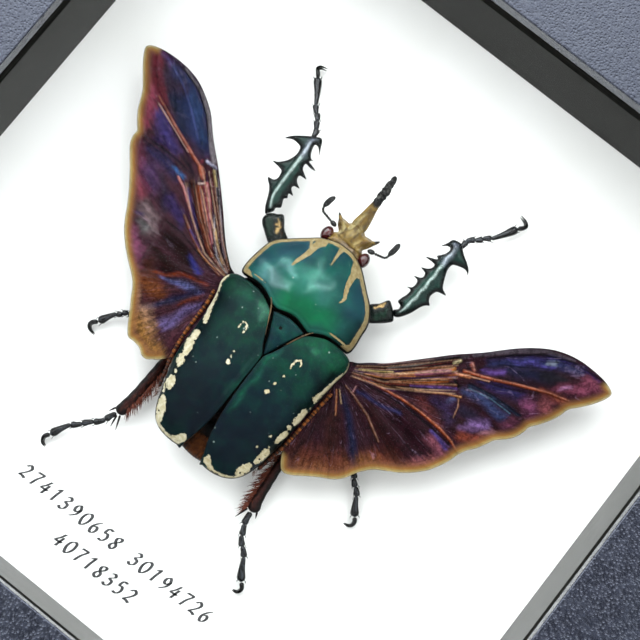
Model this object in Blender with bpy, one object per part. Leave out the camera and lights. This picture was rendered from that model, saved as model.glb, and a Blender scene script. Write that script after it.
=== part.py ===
"""Framed beetle specimen: a square shadow-box frame with a horned flower beetle behind clear glazing.

The frame lies on its back. The origin is at the middle of the back, +X runs to the right of the
label, +Y to the top of the frame and +Z out of its front. Sizes below are in millimetres.
"""
import math

import bmesh
import bpy
import numpy as np
from mathutils import Vector

MM = 0.001

# Frame
WINDOW = 152.0
RAIL_FACE = 20.0
FRAME_DEPTH = 39.0
LIP_THICK = 4.0
LIP_OVERHANG = 3.5
EDGE_ROUND = 0.3
GAP = 0.3

# What the rabbet holds, from the glazing down to the back
PANE_THICK = 2.8
BOARD_THICK = 3.0
PANEL_THICK = 2.5
SPACER_THICK = 3.0
BOARD_TOP = 8.1

# Fixings on the back
TAB_THICK = 0.5
TAB_WIDTH = 6.0
TAB_LENGTH = 15.0
TAB_SHOULDER = 8.0
TAB_POINT = 0.4
TAB_PLACES = (-45.0, 45.0)
HANGER_Y = 62.0
HANGER_HALF = 20.0
HANGER_HIGH = 9.0
HANGER_THICK = 0.8
HANGER_TEETH = 9
HANGER_EAR = 6.0
NOTCH_DROP = 0.5
TOOTH_DEEP = 1.4
RIVET_X = 17.0
RIVET_HEAD_R = 2.2
RIVET_HEAD_THICK = 0.6
RIVET_SHANK_R = 1.2
RIVET_DEPTH = 1.5
RIVET_SIDES = 20
CUT_PAST = 1.0

# Heights in the beetle, above the board
WING_LOW = 8.5
WING_THICK = 0.5
ELYTRON_LOW = 9.3
BEAD_HIGH = 0.8
THORAX_RIM = 9.0
THORAX_TOP = 16.6
THORAX_LOW = 1.2
BODY_RIM = 6.2
BODY_TOP = 8.6
BODY_LOW = 0.3
SCUTELLUM_LOW = 12.6
SCUTELLUM_TOP = 16.4
TIBIA_LOW = 4.0
TIBIA_HIGH = 6.0
EYE_SIZE = (1.15, 1.7, 1.6)

# Colours: linear red, green, blue, then roughness and metallic
SLATE = (0.045, 0.05, 0.065, 0.45, 0.0)
GREY_FOIL = (0.30, 0.31, 0.29, 0.55, 0.0)
CLEAR = (0.95, 0.97, 0.96, 0.02, 0.0)
WHITE_BOARD = (0.86, 0.86, 0.85, 0.85, 0.0)
FIBREBOARD = (0.30, 0.18, 0.10, 0.80, 0.0)
ZINC = (0.55, 0.55, 0.53, 0.35, 1.0)
OCHRE = (0.42, 0.29, 0.11, 0.40, 0.0)
BLACK_SHELL = (0.012, 0.013, 0.013, 0.30, 0.0)
RED_EYE = (0.10, 0.015, 0.015, 0.10, 0.0)
GREEN_SHELL = (0.012, 0.10, 0.075, 0.30, 0.4)
DARK_GREEN = (0.008, 0.035, 0.030, 0.30, 0.4)
WING_BROWN = (0.06, 0.02, 0.035, 0.30, 0.0)
RED_BROWN = (0.03, 0.012, 0.010, 0.35, 0.0)

# Outline of the prothorax, clockwise from the middle of its front edge
THORAX_OUTLINE = [
    (-0.8, 19.8), (1.6, 19.7), (3.4, 19.1), (4.9, 18.3), (7.0, 16.6), (9.0, 14.9), (10.5, 13.7),
    (11.9, 12.2), (12.9, 10.6), (13.4, 9.0), (13.6, 7.0), (13.9, 4.8), (13.9, 3.2), (13.5, 2.3),
    (12.6, 2.0), (10.5, 1.9), (8.3, 1.6), (6.6, 0.8), (5.2, -0.1), (4.2, -0.3), (2.4, 0.2),
    (0.5, 0.5), (-1.4, 0.2), (-3.2, -0.4), (-4.6, -0.3), (-6.4, 0.5), (-8.2, 1.3), (-10.3, 1.7),
    (-12.5, 1.7), (-14.2, 1.8), (-15.0, 2.4), (-15.2, 3.6), (-15.2, 5.2), (-14.9, 7.5),
    (-14.6, 9.2), (-14.2, 10.8), (-13.2, 12.3), (-11.8, 13.6), (-10.0, 15.2), (-8.0, 16.9),
    (-6.4, 18.2), (-4.8, 19.0), (-3.0, 19.6)]

# Outline of the hind body, under the wing cases, clockwise from the front
BODY_OUTLINE = [
    (0.0, -1.0), (8.0, -0.6), (12.6, -1.0), (14.2, -4.0), (13.8, -9.0), (13.0, -15.0), (12.2, -21.0),
    (11.0, -27.0), (8.0, -31.5), (4.0, -33.8), (1.0, -34.3), (-2.0, -33.8), (-6.0, -31.5),
    (-9.6, -27.0), (-11.8, -21.0), (-12.8, -15.0), (-14.2, -9.0), (-14.8, -4.0), (-13.2, -1.2),
    (-8.0, -0.9)]

SCUTELLUM_OUTLINE = [
    (-3.6, -1.0), (-1.6, -0.35), (0.5, -0.1), (2.6, -0.35), (4.2, -0.9), (3.5, -2.6), (2.2, -5.6),
    (0.45, -9.6), (-1.5, -5.6), (-2.9, -2.6)]

# Wing cases, as stations along Y: y, inner edge x, outer edge x, height of the ridge
ELYTRON_LEFT = [
    (0.9, -9.2, -15.2, 13.4), (-0.2, -6.4, -16.5, 14.8), (-1.4, -4.3, -16.9, 15.8),
    (-3.0, -3.3, -16.7, 16.6), (-5.5, -2.0, -15.9, 17.2), (-10.0, 0.3, -15.2, 17.5),
    (-14.0, 0.3, -15.0, 17.5), (-19.0, 0.35, -14.7, 17.2), (-24.0, 0.3, -13.5, 16.2),
    (-28.0, 0.05, -12.2, 14.6), (-31.0, -0.5, -11.0, 12.9), (-33.0, -1.2, -9.6, 11.5),
    (-34.6, -2.3, -7.2, 10.4)]
ELYTRON_RIGHT = [
    (1.4, 9.2, 14.3, 13.0), (0.3, 6.7, 15.5, 14.6), (-1.4, 4.5, 15.8, 15.8),
    (-3.0, 3.8, 15.6, 16.6), (-5.5, 2.65, 15.3, 17.2), (-10.0, 0.75, 15.0, 17.5),
    (-14.0, 0.75, 14.8, 17.5), (-19.0, 0.9, 14.6, 17.2), (-24.0, 1.35, 14.2, 16.2),
    (-28.0, 1.9, 13.5, 14.6), (-31.0, 2.6, 12.5, 12.9), (-33.0, 3.4, 10.9, 11.5),
    (-34.6, 4.3, 8.0, 10.4)]
SUTURE_X = 0.5

# Head and horn, as stations along Y: y, middle x, half width, middle height, half height
HEAD_STATIONS = [
    (20.4, -1.2, 4.1, 7.2, 2.4), (21.7, -1.1, 3.6, 7.2, 2.6), (23.0, -1.2, 4.2, 7.2, 2.3),
    (24.3, -1.3, 4.9, 7.2, 1.7), (24.9, -1.3, 5.0, 7.4, 1.2), (25.5, -1.4, 1.9, 7.9, 1.3),
    (28.0, -1.4, 1.4, 8.8, 1.0), (30.5, -1.5, 1.0, 9.6, 0.8), (33.0, -1.5, 1.0, 10.5, 0.8),
    (35.5, -1.5, 1.0, 11.3, 0.7), (37.0, -1.5, 0.8, 11.8, 0.6), (38.2, -1.6, 0.5, 12.1, 0.4)]

EYE_LEFT = (-6.0, 20.1, 7.4)
EYE_RIGHT = (3.8, 20.3, 7.4)

# Feelers, as points x, y, height, radius
ANTENNA_LEFT = [
    (-6.1, 22.7, 6.6, 0.45), (-6.8, 22.8, 6.7, 0.5), (-8.2, 23.1, 7.0, 0.28), (-9.5, 23.3, 7.2, 0.28),
    (-10.1, 23.9, 7.3, 0.3), (-10.1, 24.6, 7.4, 0.45), (-9.9, 26.0, 7.6, 0.55), (-9.5, 27.4, 7.7, 0.2)]
ANTENNA_RIGHT = [
    (4.0, 22.9, 6.6, 0.45), (4.6, 23.0, 6.7, 0.5), (5.8, 23.3, 7.0, 0.28), (6.8, 23.6, 7.2, 0.28),
    (7.3, 24.2, 7.3, 0.3), (7.4, 25.0, 7.4, 0.45), (7.6, 26.4, 7.6, 0.55), (7.6, 28.0, 7.7, 0.2)]

# Hind wings, from the front of the root along the leading edge to the tip and back
WING_LEFT = [
    (-16.0, 0.8), (-17.2, 1.4), (-20.5, 4.0), (-25.5, 9.2), (-30.5, 14.3), (-35.5, 18.9),
    (-40.0, 23.3), (-45.0, 27.2), (-51.0, 29.5), (-57.0, 29.7), (-61.3, 28.7), (-61.6, 26.5),
    (-58.0, 21.8), (-55.6, 18.2), (-51.7, 12.0), (-51.2, 9.2), (-47.8, 5.0), (-44.2, 0.2),
    (-41.4, -4.4), (-37.5, -9.0), (-32.5, -13.0), (-29.6, -16.8), (-24.8, -23.6), (-22.0, -23.9),
    (-19.2, -25.0), (-17.2, -23.8), (-16.0, -20.0), (-16.0, -12.0), (-16.2, -4.0)]
WING_RIGHT = [
    (15.0, 1.4), (16.5, 2.2), (21.0, 5.7), (26.0, 10.8), (31.0, 16.0), (36.0, 20.6),
    (41.0, 25.7), (47.0, 30.1), (53.0, 31.9), (59.0, 31.8), (62.2, 30.4), (61.7, 28.0),
    (58.7, 23.8), (56.6, 20.0), (53.0, 14.0), (52.4, 11.5), (49.0, 7.3), (45.6, 1.8),
    (43.6, -3.4), (39.8, -8.6), (35.0, -12.0), (31.3, -15.0), (29.5, -17.6), (25.0, -21.7),
    (21.0, -24.4), (18.2, -25.4), (16.8, -23.6), (15.2, -20.0), (15.2, -12.0), (15.2, -4.0)]

# Front shins with their teeth, from the knee up the outer side and down the inner side
TIBIA_FRONT_LEFT = [
    (-19.5, 16.8), (-21.4, 19.2), (-22.4, 20.8), (-23.9, 22.2), (-22.4, 22.8), (-22.4, 25.0),
    (-25.3, 25.7), (-23.4, 27.2), (-22.3, 30.0), (-22.6, 31.8), (-24.8, 32.1), (-26.3, 31.4),
    (-25.6, 32.7), (-23.4, 34.4), (-20.3, 36.2), (-19.5, 35.6), (-18.3, 33.1), (-19.6, 34.2),
    (-20.3, 34.0), (-19.8, 32.0), (-18.6, 31.2), (-19.0, 30.4), (-16.8, 29.7), (-19.2, 29.4),
    (-19.0, 28.2), (-17.1, 27.0), (-18.6, 26.6), (-18.5, 25.6), (-17.0, 24.5), (-18.2, 24.1),
    (-18.2, 23.2), (-17.1, 22.4), (-18.1, 22.1), (-18.2, 20.6), (-17.5, 18.8), (-18.2, 18.0)]
TIBIA_FRONT_RIGHT = [
    (17.0, 16.6), (18.5, 18.6), (19.4, 20.4), (20.7, 21.9), (19.7, 23.0), (19.8, 24.8),
    (22.0, 25.8), (20.3, 27.2), (19.1, 30.3), (19.2, 31.9), (21.4, 32.7), (23.1, 32.1),
    (22.5, 33.3), (20.4, 34.8), (16.9, 36.7), (15.8, 36.2), (14.8, 33.8), (16.2, 34.6),
    (16.7, 33.8), (16.1, 32.2), (15.3, 31.4), (15.8, 30.7), (13.6, 29.8), (15.9, 29.5),
    (15.9, 28.4), (14.2, 27.3), (15.6, 26.7), (15.6, 25.8), (14.1, 24.9), (15.3, 24.4),
    (15.4, 23.2), (14.4, 22.1), (15.4, 21.9), (15.3, 20.4), (14.8, 18.4), (15.8, 18.0)]

# Legs, as points x, y, height, half width, half height
FEMUR_FRONT = {
    "left": [(-14.0, 13.0, 4.8, 1.7, 1.1), (-15.2, 14.2, 4.8, 2.2, 1.5), (-17.0, 15.7, 4.9, 2.1, 1.3)],
    "right": [(12.4, 12.8, 4.8, 1.7, 1.1), (13.4, 13.9, 4.8, 2.2, 1.5), (14.9, 15.2, 4.9, 2.0, 1.3)]}
FEMUR_MID = {
    "left": [(-15.4, -4.8, 3.0, 1.2, 0.9), (-17.0, -6.0, 3.4, 1.7, 1.3), (-19.2, -7.4, 3.8, 1.3, 1.0)],
    "right": [(15.0, -3.4, 3.0, 1.2, 0.9), (16.6, -4.2, 3.4, 1.7, 1.3), (18.6, -5.2, 3.8, 1.3, 1.0)]}
TIBIA_MID = {
    "left": [(-20.4, -8.2, 4.0, 0.8, 0.7), (-23.2, -12.2, 3.9, 1.1, 0.8), (-26.0, -16.0, 3.6, 1.3, 0.9)],
    "right": [(19.9, -6.2, 4.0, 0.8, 0.7), (23.4, -9.4, 3.9, 1.1, 0.8), (27.0, -12.8, 3.6, 1.3, 0.9)]}
FEMUR_HIND = {
    "left": [(-13.9, -16.4, 2.8, 1.0, 0.9), (-14.6, -17.8, 3.2, 1.2, 1.1), (-15.6, -19.8, 3.5, 1.1, 0.9)],
    "right": [(13.9, -16.4, 2.8, 1.0, 0.9), (14.6, -17.8, 3.2, 1.2, 1.1), (15.6, -19.8, 3.5, 1.1, 0.9)]}
TIBIA_HIND = {
    "left": [(-16.0, -21.2, 3.6, 0.9, 0.8), (-16.1, -26.0, 3.7, 1.1, 0.9), (-16.4, -32.0, 3.7, 1.1, 0.9),
             (-17.0, -37.2, 3.5, 1.4, 1.0)],
    "right": [(16.2, -21.2, 3.6, 0.9, 0.8), (16.6, -25.0, 3.7, 1.1, 0.9), (17.2, -30.6, 3.7, 1.1, 0.9),
              (18.2, -35.8, 3.5, 1.4, 1.0)]}

# Feet, as the joints x, y, height of their five segments, then the points of the claw
TARSUS_ROUTES = {
    "front_left": [(-21.9, 36.1, 4.6), (-22.3, 37.4, 4.2), (-23.6, 39.0, 3.8), (-24.7, 40.4, 3.4),
                   (-26.1, 41.8, 3.0), (-29.6, 47.0, 2.0), (-31.1, 48.6, 1.3), (-29.6, 50.1, 0.7)],
    "front_right": [(18.2, 36.9, 4.6), (18.3, 38.1, 4.2), (19.6, 39.7, 3.8), (20.8, 41.0, 3.4),
                    (22.2, 42.2, 3.0), (25.1, 47.6, 2.0), (26.4, 49.2, 1.3), (24.4, 50.6, 0.7)],
    "mid_left": [(-26.9, -17.3, 3.3), (-28.0, -18.7, 3.0), (-29.0, -19.6, 2.7), (-30.0, -20.3, 2.4),
                 (-30.9, -21.1, 2.2), (-32.8, -24.7, 1.6), (-33.9, -26.0, 1.1), (-32.3, -27.4, 0.7)],
    "mid_right": [(28.0, -14.0, 3.3), (29.6, -15.8, 3.0), (31.0, -17.1, 2.7), (32.2, -18.2, 2.4),
                  (33.6, -19.6, 2.2), (35.8, -23.1, 1.6), (36.6, -24.3, 1.1), (35.2, -25.7, 0.7)],
    "hind_left": [(-17.5, -38.7, 3.2), (-18.3, -40.2, 3.0), (-19.9, -42.0, 2.7), (-21.7, -43.9, 2.4),
                  (-23.5, -45.5, 2.2), (-25.4, -49.7, 1.6), (-26.4, -51.0, 1.1), (-25.3, -52.4, 0.7)],
    "hind_right": [(18.4, -37.3, 3.2), (18.7, -39.2, 3.0), (19.8, -41.3, 2.7), (21.3, -42.9, 2.4),
                   (22.9, -44.4, 2.2), (25.5, -48.7, 1.6), (26.6, -49.9, 1.1), (25.5, -51.2, 0.7)]}
SEGMENT_THIN = 0.35
SEGMENT_THICK = 0.62
LAST_SEGMENT_THICK = 0.78
CLAW_BASE = 0.42
CLAW_TIP = 0.16


def clear_scene():
    """Take away every object that the file opened with."""
    for thing in list(bpy.data.objects):
        bpy.data.objects.remove(thing, do_unlink=True)


def make_material(name, values):
    """A plain finish from a colour, a roughness and a metallic value."""
    red, green, blue, roughness, metallic = values
    material = bpy.data.materials.new(name)
    material.use_nodes = True
    shader = material.node_tree.nodes["Principled BSDF"]
    shader.inputs["Base Color"].default_value = (red, green, blue, 1.0)
    shader.inputs["Roughness"].default_value = roughness
    shader.inputs["Metallic"].default_value = metallic
    return material


def add_piece(name, bm, values, smooth=False):
    """Turn a bmesh in millimetres into one named object in metres with its own material."""
    bmesh.ops.scale(bm, vec=(MM, MM, MM), verts=bm.verts)
    bmesh.ops.recalc_face_normals(bm, faces=bm.faces)
    mesh = bpy.data.meshes.new(name)
    bm.to_mesh(mesh)
    bm.free()
    if smooth:
        mesh.shade_smooth()
        mesh.set_sharp_from_angle(angle=math.radians(50.0))
    piece = bpy.data.objects.new(name, mesh)
    piece.data.materials.append(make_material(name, values))
    bpy.context.scene.collection.objects.link(piece)
    return piece


def add_bevel(piece, width):
    """Round the outer edges of a hard piece."""
    bevel = piece.modifiers.new("edges", "BEVEL")
    bevel.width = width * MM
    bevel.segments = 2
    bevel.limit_method = "ANGLE"
    bevel.angle_limit = math.radians(40.0)


def cut_with(piece, cutter):
    """Subtract a hidden cutter from a piece."""
    cutter.hide_render = True
    cutter.display_type = "WIRE"
    cut = piece.modifiers.new("cut", "BOOLEAN")
    cut.operation = "DIFFERENCE"
    cut.solver = "EXACT"
    cut.object = cutter


def loft(rings):
    """A closed skin over rings of equally many points, capped at both ends."""
    bm = bmesh.new()
    loops = [[bm.verts.new(point) for point in ring] for ring in rings]
    count = len(loops[0])
    for first, second in zip(loops, loops[1:]):
        for i in range(count):
            j = (i + 1) % count
            bm.faces.new((first[i], first[j], second[j], second[i]))
    bm.faces.new(loops[0])
    bm.faces.new(loops[-1])
    return bm


def prism(outline, low, high):
    """An outline in the XY plane, raised from one height to another."""
    return loft([[(x, y, z) for x, y in outline] for z in (low, high)])


def dome(outline, low, rim, top, steps):
    """A pebble over an outline: bulging up from the rim to the top and down to the low point."""
    middle = np.mean(outline, axis=0)
    angles = np.linspace(-90.0, 90.0, 2 * steps + 1)[1:-1]
    rings = []
    for angle in np.radians(angles):
        spread = math.cos(angle)
        rise = math.sin(angle)
        height = rim + rise * ((top - rim) if rise > 0 else (rim - low))
        ring = [(*(middle + spread * (np.array(point) - middle)), height) for point in outline]
        rings.append(ring)
    return loft(rings)


def ellipsoid(centre, size):
    """A round body with three radii."""
    bm = bmesh.new()
    bmesh.ops.create_uvsphere(bm, u_segments=12, v_segments=8, radius=1.0)
    bmesh.ops.scale(bm, vec=size, verts=bm.verts)
    bmesh.ops.translate(bm, vec=centre, verts=bm.verts)
    return bm


def cylinder(x, y, low, high, radius, sides=20):
    """An upright cylinder."""
    angles = [2.0 * math.pi * i / sides for i in range(sides)]
    return prism([(x + radius * math.cos(a), y + radius * math.sin(a)) for a in angles], low, high)


def on_board(height):
    """Height above the back of the frame of a point given above the mount board."""
    return BOARD_TOP + height


def limb(points, sides=8):
    """An oval limb along points x, y, height, half width, half height."""
    places = [Vector((x, y, on_board(z))) for x, y, z, _, _ in points]
    rings = []
    for i, place in enumerate(places):
        ahead = places[min(i + 1, len(places) - 1)]
        behind = places[max(i - 1, 0)]
        along = (ahead - behind).normalized()
        across = along.cross(Vector((0.0, 0.0, 1.0))).normalized()
        up = across.cross(along)
        half_width, half_height = points[i][3], points[i][4]
        ring = []
        for k in range(sides):
            angle = 2.0 * math.pi * k / sides
            offset = across * (half_width * math.cos(angle)) + up * (half_height * math.sin(angle))
            ring.append(place + offset)
        rings.append(ring)
    return loft(rings)


def make_rails():
    """Four mitred rails with a rabbet behind a lip."""
    inner = WINDOW / 2.0
    wall = inner + LIP_OVERHANG
    outer = inner + RAIL_FACE
    lip_low = FRAME_DEPTH - LIP_THICK
    section = [(wall, 0.0), (outer, 0.0), (outer, FRAME_DEPTH), (inner, FRAME_DEPTH), (inner, lip_low),
               (wall, lip_low)]
    mitre = GAP / 2.0 * math.sqrt(2.0)
    for side, turn in (("bottom", 0), ("right", 90), ("top", 180), ("left", 270)):
        rings = []
        for end in (-1.0, 1.0):
            rings.append([(end * (reach - mitre), -reach, height) for reach, height in section])
        rail = add_piece("rail_" + side, loft(rings), SLATE)
        rail.rotation_euler.z = math.radians(turn)
        add_bevel(rail, EDGE_ROUND)


def make_spacers():
    """Four mitred strips that hold the glazing away from the board."""
    inner = WINDOW / 2.0
    outer = inner + SPACER_THICK
    low = BOARD_TOP + GAP
    high = FRAME_DEPTH - LIP_THICK - GAP - PANE_THICK - GAP
    mitre = GAP / 2.0 * math.sqrt(2.0)
    for side, turn in (("bottom", 0), ("right", 90), ("top", 180), ("left", 270)):
        outline = [(-inner + mitre, -inner), (-outer + mitre, -outer), (outer - mitre, -outer),
                   (inner - mitre, -inner)]
        strip = add_piece("spacer_" + side, prism(outline, low, high), GREY_FOIL)
        strip.rotation_euler.z = math.radians(turn)


def square(half):
    """Corners of a square about the origin."""
    return [(-half, -half), (half, -half), (half, half), (-half, half)]


def make_layers():
    """The glazing, the white mount board and the back panel."""
    half = WINDOW / 2.0 + LIP_OVERHANG - GAP
    pane_high = FRAME_DEPTH - LIP_THICK - GAP
    add_piece("glazing_pane", prism(square(half), pane_high - PANE_THICK, pane_high), CLEAR)
    board_low = BOARD_TOP - BOARD_THICK
    add_piece("mount_board", prism(square(half), board_low, BOARD_TOP), WHITE_BOARD)
    panel_high = board_low - GAP
    panel_low = panel_high - PANEL_THICK
    panel = add_piece("back_panel", prism(square(half), panel_low, panel_high), FIBREBOARD)
    for side in (-1.0, 1.0):
        hole = cylinder(side * RIVET_X, HANGER_Y, panel_low - 1.0, panel_low + RIVET_DEPTH + GAP,
                        RIVET_SHANK_R + GAP)
        cut_with(panel, add_piece("panel_cutter", hole, FIBREBOARD))
    return panel_low


def make_tabs(panel_low):
    """Eight bent tabs, two on each rail, that hold the back panel in."""
    wall = WINDOW / 2.0 + LIP_OVERHANG - GAP
    half = TAB_WIDTH / 2.0
    point = half * TAB_POINT
    shoulder = half - wall + TAB_SHOULDER
    high = panel_low - GAP
    number = 0
    for turn in (0, 90, 180, 270):
        for place in TAB_PLACES:
            number += 1
            outline = [(place - half, -wall), (place + half, -wall), (place + half, shoulder),
                       (place + point, TAB_LENGTH - wall), (place - point, TAB_LENGTH - wall),
                       (place - half, shoulder)]
            tab = add_piece(f"back_tab_{number}", prism(outline, high - TAB_THICK, high), ZINC)
            tab.rotation_euler.z = math.radians(turn)


def make_hanger(panel_low):
    """A sawtooth hanger riveted to the back panel."""
    top = HANGER_Y + HANGER_HIGH / 2.0
    low_edge = HANGER_Y - HANGER_HIGH / 2.0
    outline = [(HANGER_HALF, low_edge), (HANGER_HALF, top), (-HANGER_HALF, top), (-HANGER_HALF, low_edge)]
    bar = HANGER_HALF - HANGER_EAR
    pitch = 2.0 * bar / HANGER_TEETH
    notch = HANGER_Y - NOTCH_DROP
    outline += [(-bar, low_edge), (-bar, notch)]
    for tooth in range(HANGER_TEETH):
        start = -bar + tooth * pitch
        outline.append((start + pitch / 2.0, notch - TOOTH_DEEP))
        if tooth < HANGER_TEETH - 1:
            outline.append((start + pitch, notch))
    outline += [(bar, notch), (bar, low_edge)]
    high = panel_low - GAP
    plate = add_piece("hanger", prism(outline, high - HANGER_THICK, high), ZINC)
    head_high = high - HANGER_THICK - GAP
    for name, side in (("left", -1.0), ("right", 1.0)):
        x = side * RIVET_X
        hole = cylinder(x, HANGER_Y, high - HANGER_THICK - CUT_PAST, high + CUT_PAST, RIVET_SHANK_R + GAP)
        cut_with(plate, add_piece("hanger_cutter", hole, ZINC))
        rings = []
        shape = ((RIVET_HEAD_R, head_high - RIVET_HEAD_THICK), (RIVET_HEAD_R, head_high),
                 (RIVET_SHANK_R, head_high), (RIVET_SHANK_R, panel_low + RIVET_DEPTH))
        for radius, height in shape:
            angles = [2.0 * math.pi * i / RIVET_SIDES for i in range(RIVET_SIDES)]
            rings.append([(x + radius * math.cos(a), HANGER_Y + radius * math.sin(a), height)
                          for a in angles])
        add_piece(f"hanger_rivet_{name}", loft(rings), ZINC)


def make_trunk():
    """Prothorax, hind body and scutellum."""
    thorax = dome(THORAX_OUTLINE, on_board(THORAX_LOW), on_board(THORAX_RIM), on_board(THORAX_TOP), 5)
    add_piece("pronotum", thorax, GREEN_SHELL, smooth=True)
    body = dome(BODY_OUTLINE, on_board(BODY_LOW), on_board(BODY_RIM), on_board(BODY_TOP), 4)
    add_piece("body", body, RED_BROWN, smooth=True)
    shield = prism(SCUTELLUM_OUTLINE, on_board(SCUTELLUM_LOW), on_board(SCUTELLUM_TOP))
    add_piece("scutellum", shield, GREEN_SHELL)


def elytron_ring(y, inner_x, outer_x, ridge, steps=6):
    """One cross-section of a wing case: flat below, arched from the outer edge up to the ridge."""
    base = ELYTRON_LOW
    ring = [(inner_x, y, on_board(base)), (outer_x, y, on_board(base))]
    for x in np.linspace(outer_x, inner_x, steps):
        away = (x - SUTURE_X) / (outer_x - SUTURE_X)
        rise = math.sqrt(max(0.0, 1.0 - away * away))
        ring.append((x, y, on_board(base + BEAD_HIGH + rise * (ridge - base - BEAD_HIGH))))
    return ring


def make_wing_cases():
    """Both elytra, closed over the hind body."""
    for side, stations in (("left", ELYTRON_LEFT), ("right", ELYTRON_RIGHT)):
        rings = [elytron_ring(*station) for station in stations]
        add_piece("elytron_" + side, loft(rings), DARK_GREEN, smooth=True)


def make_head():
    """Head with its horn, eyes and feelers."""
    points = [(x, y, z, wide, high) for y, x, wide, z, high in HEAD_STATIONS]
    head = add_piece("head", limb(points, sides=12), OCHRE, smooth=True)
    for side, centre in (("left", EYE_LEFT), ("right", EYE_RIGHT)):
        place = (centre[0], centre[1], on_board(centre[2]))
        add_piece("eye_" + side, ellipsoid(place, EYE_SIZE), RED_EYE, smooth=True)
        socket = ellipsoid(place, tuple(radius + GAP for radius in EYE_SIZE))
        cut_with(head, add_piece("eye_cutter", socket, RED_EYE))
    for side, points in (("left", ANTENNA_LEFT), ("right", ANTENNA_RIGHT)):
        route = [(x, y, z, radius, radius) for x, y, z, radius in points]
        add_piece("antenna_" + side, limb(route, sides=6), BLACK_SHELL, smooth=True)


def make_wings():
    """The two spread hind wings, as thin plates."""
    low = on_board(WING_LOW)
    for side, outline in (("left", WING_LEFT), ("right", WING_RIGHT)):
        add_piece("hind_wing_" + side, prism(outline, low, low + WING_THICK), WING_BROWN)


def tarsus_points(route):
    """Swelling segments along the joints of a foot, then a tapering claw."""
    points = []
    joints = [Vector(joint) for joint in route[:6]]
    for i, (start, end) in enumerate(zip(joints, joints[1:])):
        thick = SEGMENT_THICK if i < 4 else LAST_SEGMENT_THICK
        for share, radius in ((0.05, SEGMENT_THIN), (0.75, thick)):
            x, y, z = start.lerp(end, share)
            points.append((x, y, z, radius, radius * 0.8))
    for place, radius in zip(route[5:], (CLAW_BASE, (CLAW_BASE + CLAW_TIP) / 2.0, CLAW_TIP)):
        points.append((*place, radius, radius))
    return points


def make_legs():
    """Six legs of three pieces: thigh, shin and foot."""
    for side, outline in (("left", TIBIA_FRONT_LEFT), ("right", TIBIA_FRONT_RIGHT)):
        shin = prism(outline, on_board(TIBIA_LOW), on_board(TIBIA_HIGH))
        add_piece("tibia_front_" + side, shin, DARK_GREEN)
    groups = (("femur_front_", FEMUR_FRONT, DARK_GREEN), ("femur_mid_", FEMUR_MID, RED_BROWN),
              ("tibia_mid_", TIBIA_MID, BLACK_SHELL), ("femur_hind_", FEMUR_HIND, RED_BROWN),
              ("tibia_hind_", TIBIA_HIND, RED_BROWN))
    for start, sides, colour in groups:
        for side, points in sides.items():
            add_piece(start + side, limb(points), colour, smooth=True)
    for name, route in TARSUS_ROUTES.items():
        add_piece("tarsus_" + name, limb(tarsus_points(route), sides=6), BLACK_SHELL, smooth=True)


def main():
    clear_scene()
    make_rails()
    make_spacers()
    panel_low = make_layers()
    make_tabs(panel_low)
    make_hanger(panel_low)
    make_trunk()
    make_wing_cases()
    make_head()
    make_wings()
    make_legs()


main()
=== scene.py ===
"""Looks of the framed beetle specimen.

Beetle sizes are in millimetres, with heights above the white board; make_piece() turns them into
metres. Marks on domed pieces are given as they show on a level plane from the camera's place, and
unseen() finds where each vertex shows on that plane.
"""
import math

import bpy
import numpy as np
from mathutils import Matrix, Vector, geometry


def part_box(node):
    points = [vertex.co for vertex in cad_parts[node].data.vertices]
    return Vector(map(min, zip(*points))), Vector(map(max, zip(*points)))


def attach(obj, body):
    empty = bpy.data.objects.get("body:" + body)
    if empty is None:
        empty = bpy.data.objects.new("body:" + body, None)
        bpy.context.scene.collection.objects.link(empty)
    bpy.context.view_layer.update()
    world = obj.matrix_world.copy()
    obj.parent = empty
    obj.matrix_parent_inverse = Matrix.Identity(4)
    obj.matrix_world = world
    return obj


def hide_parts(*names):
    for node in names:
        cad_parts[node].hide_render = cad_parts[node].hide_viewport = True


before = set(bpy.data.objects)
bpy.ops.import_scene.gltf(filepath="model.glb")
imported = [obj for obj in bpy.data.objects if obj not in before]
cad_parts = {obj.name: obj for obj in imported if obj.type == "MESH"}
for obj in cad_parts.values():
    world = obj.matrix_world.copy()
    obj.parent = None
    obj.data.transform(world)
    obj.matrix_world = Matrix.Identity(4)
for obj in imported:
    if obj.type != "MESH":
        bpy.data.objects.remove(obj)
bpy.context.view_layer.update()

MM = 0.001
BOARD_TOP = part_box("mount_board")[1][2]

# Light
SKY_LEVEL = 2.76
SKY_ZENITH = 0.3
SKY_FAR = 0.62
WINDOW_PLACE = (-0.40, 0.44, 0.74)
WINDOW_SIZE = 1.05
WINDOW_POWER = 10.0
WINDOW_TINT = (0.95, 0.98, 1.0)
# Direction of the window in plan, and between which slopes the sky dims overhead and away from it
WINDOW_WAY = (-0.67, 0.74)
SKY_TURN = (0.86, 0.96)
FAR_TURN = (-0.5, 0.4)

# Table
TABLE_HALF = 1.5
TABLE_DROP = 0.0006

# Camera, found from the straight edges of the frame in the photograph
CAMERA_MM = (25.76, -35.50, 330.20)
CAMERA_TURN = (7.865, -1.442, 38.375)
CAMERA_LENS = 86.54
SENSOR = 36.0

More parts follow.
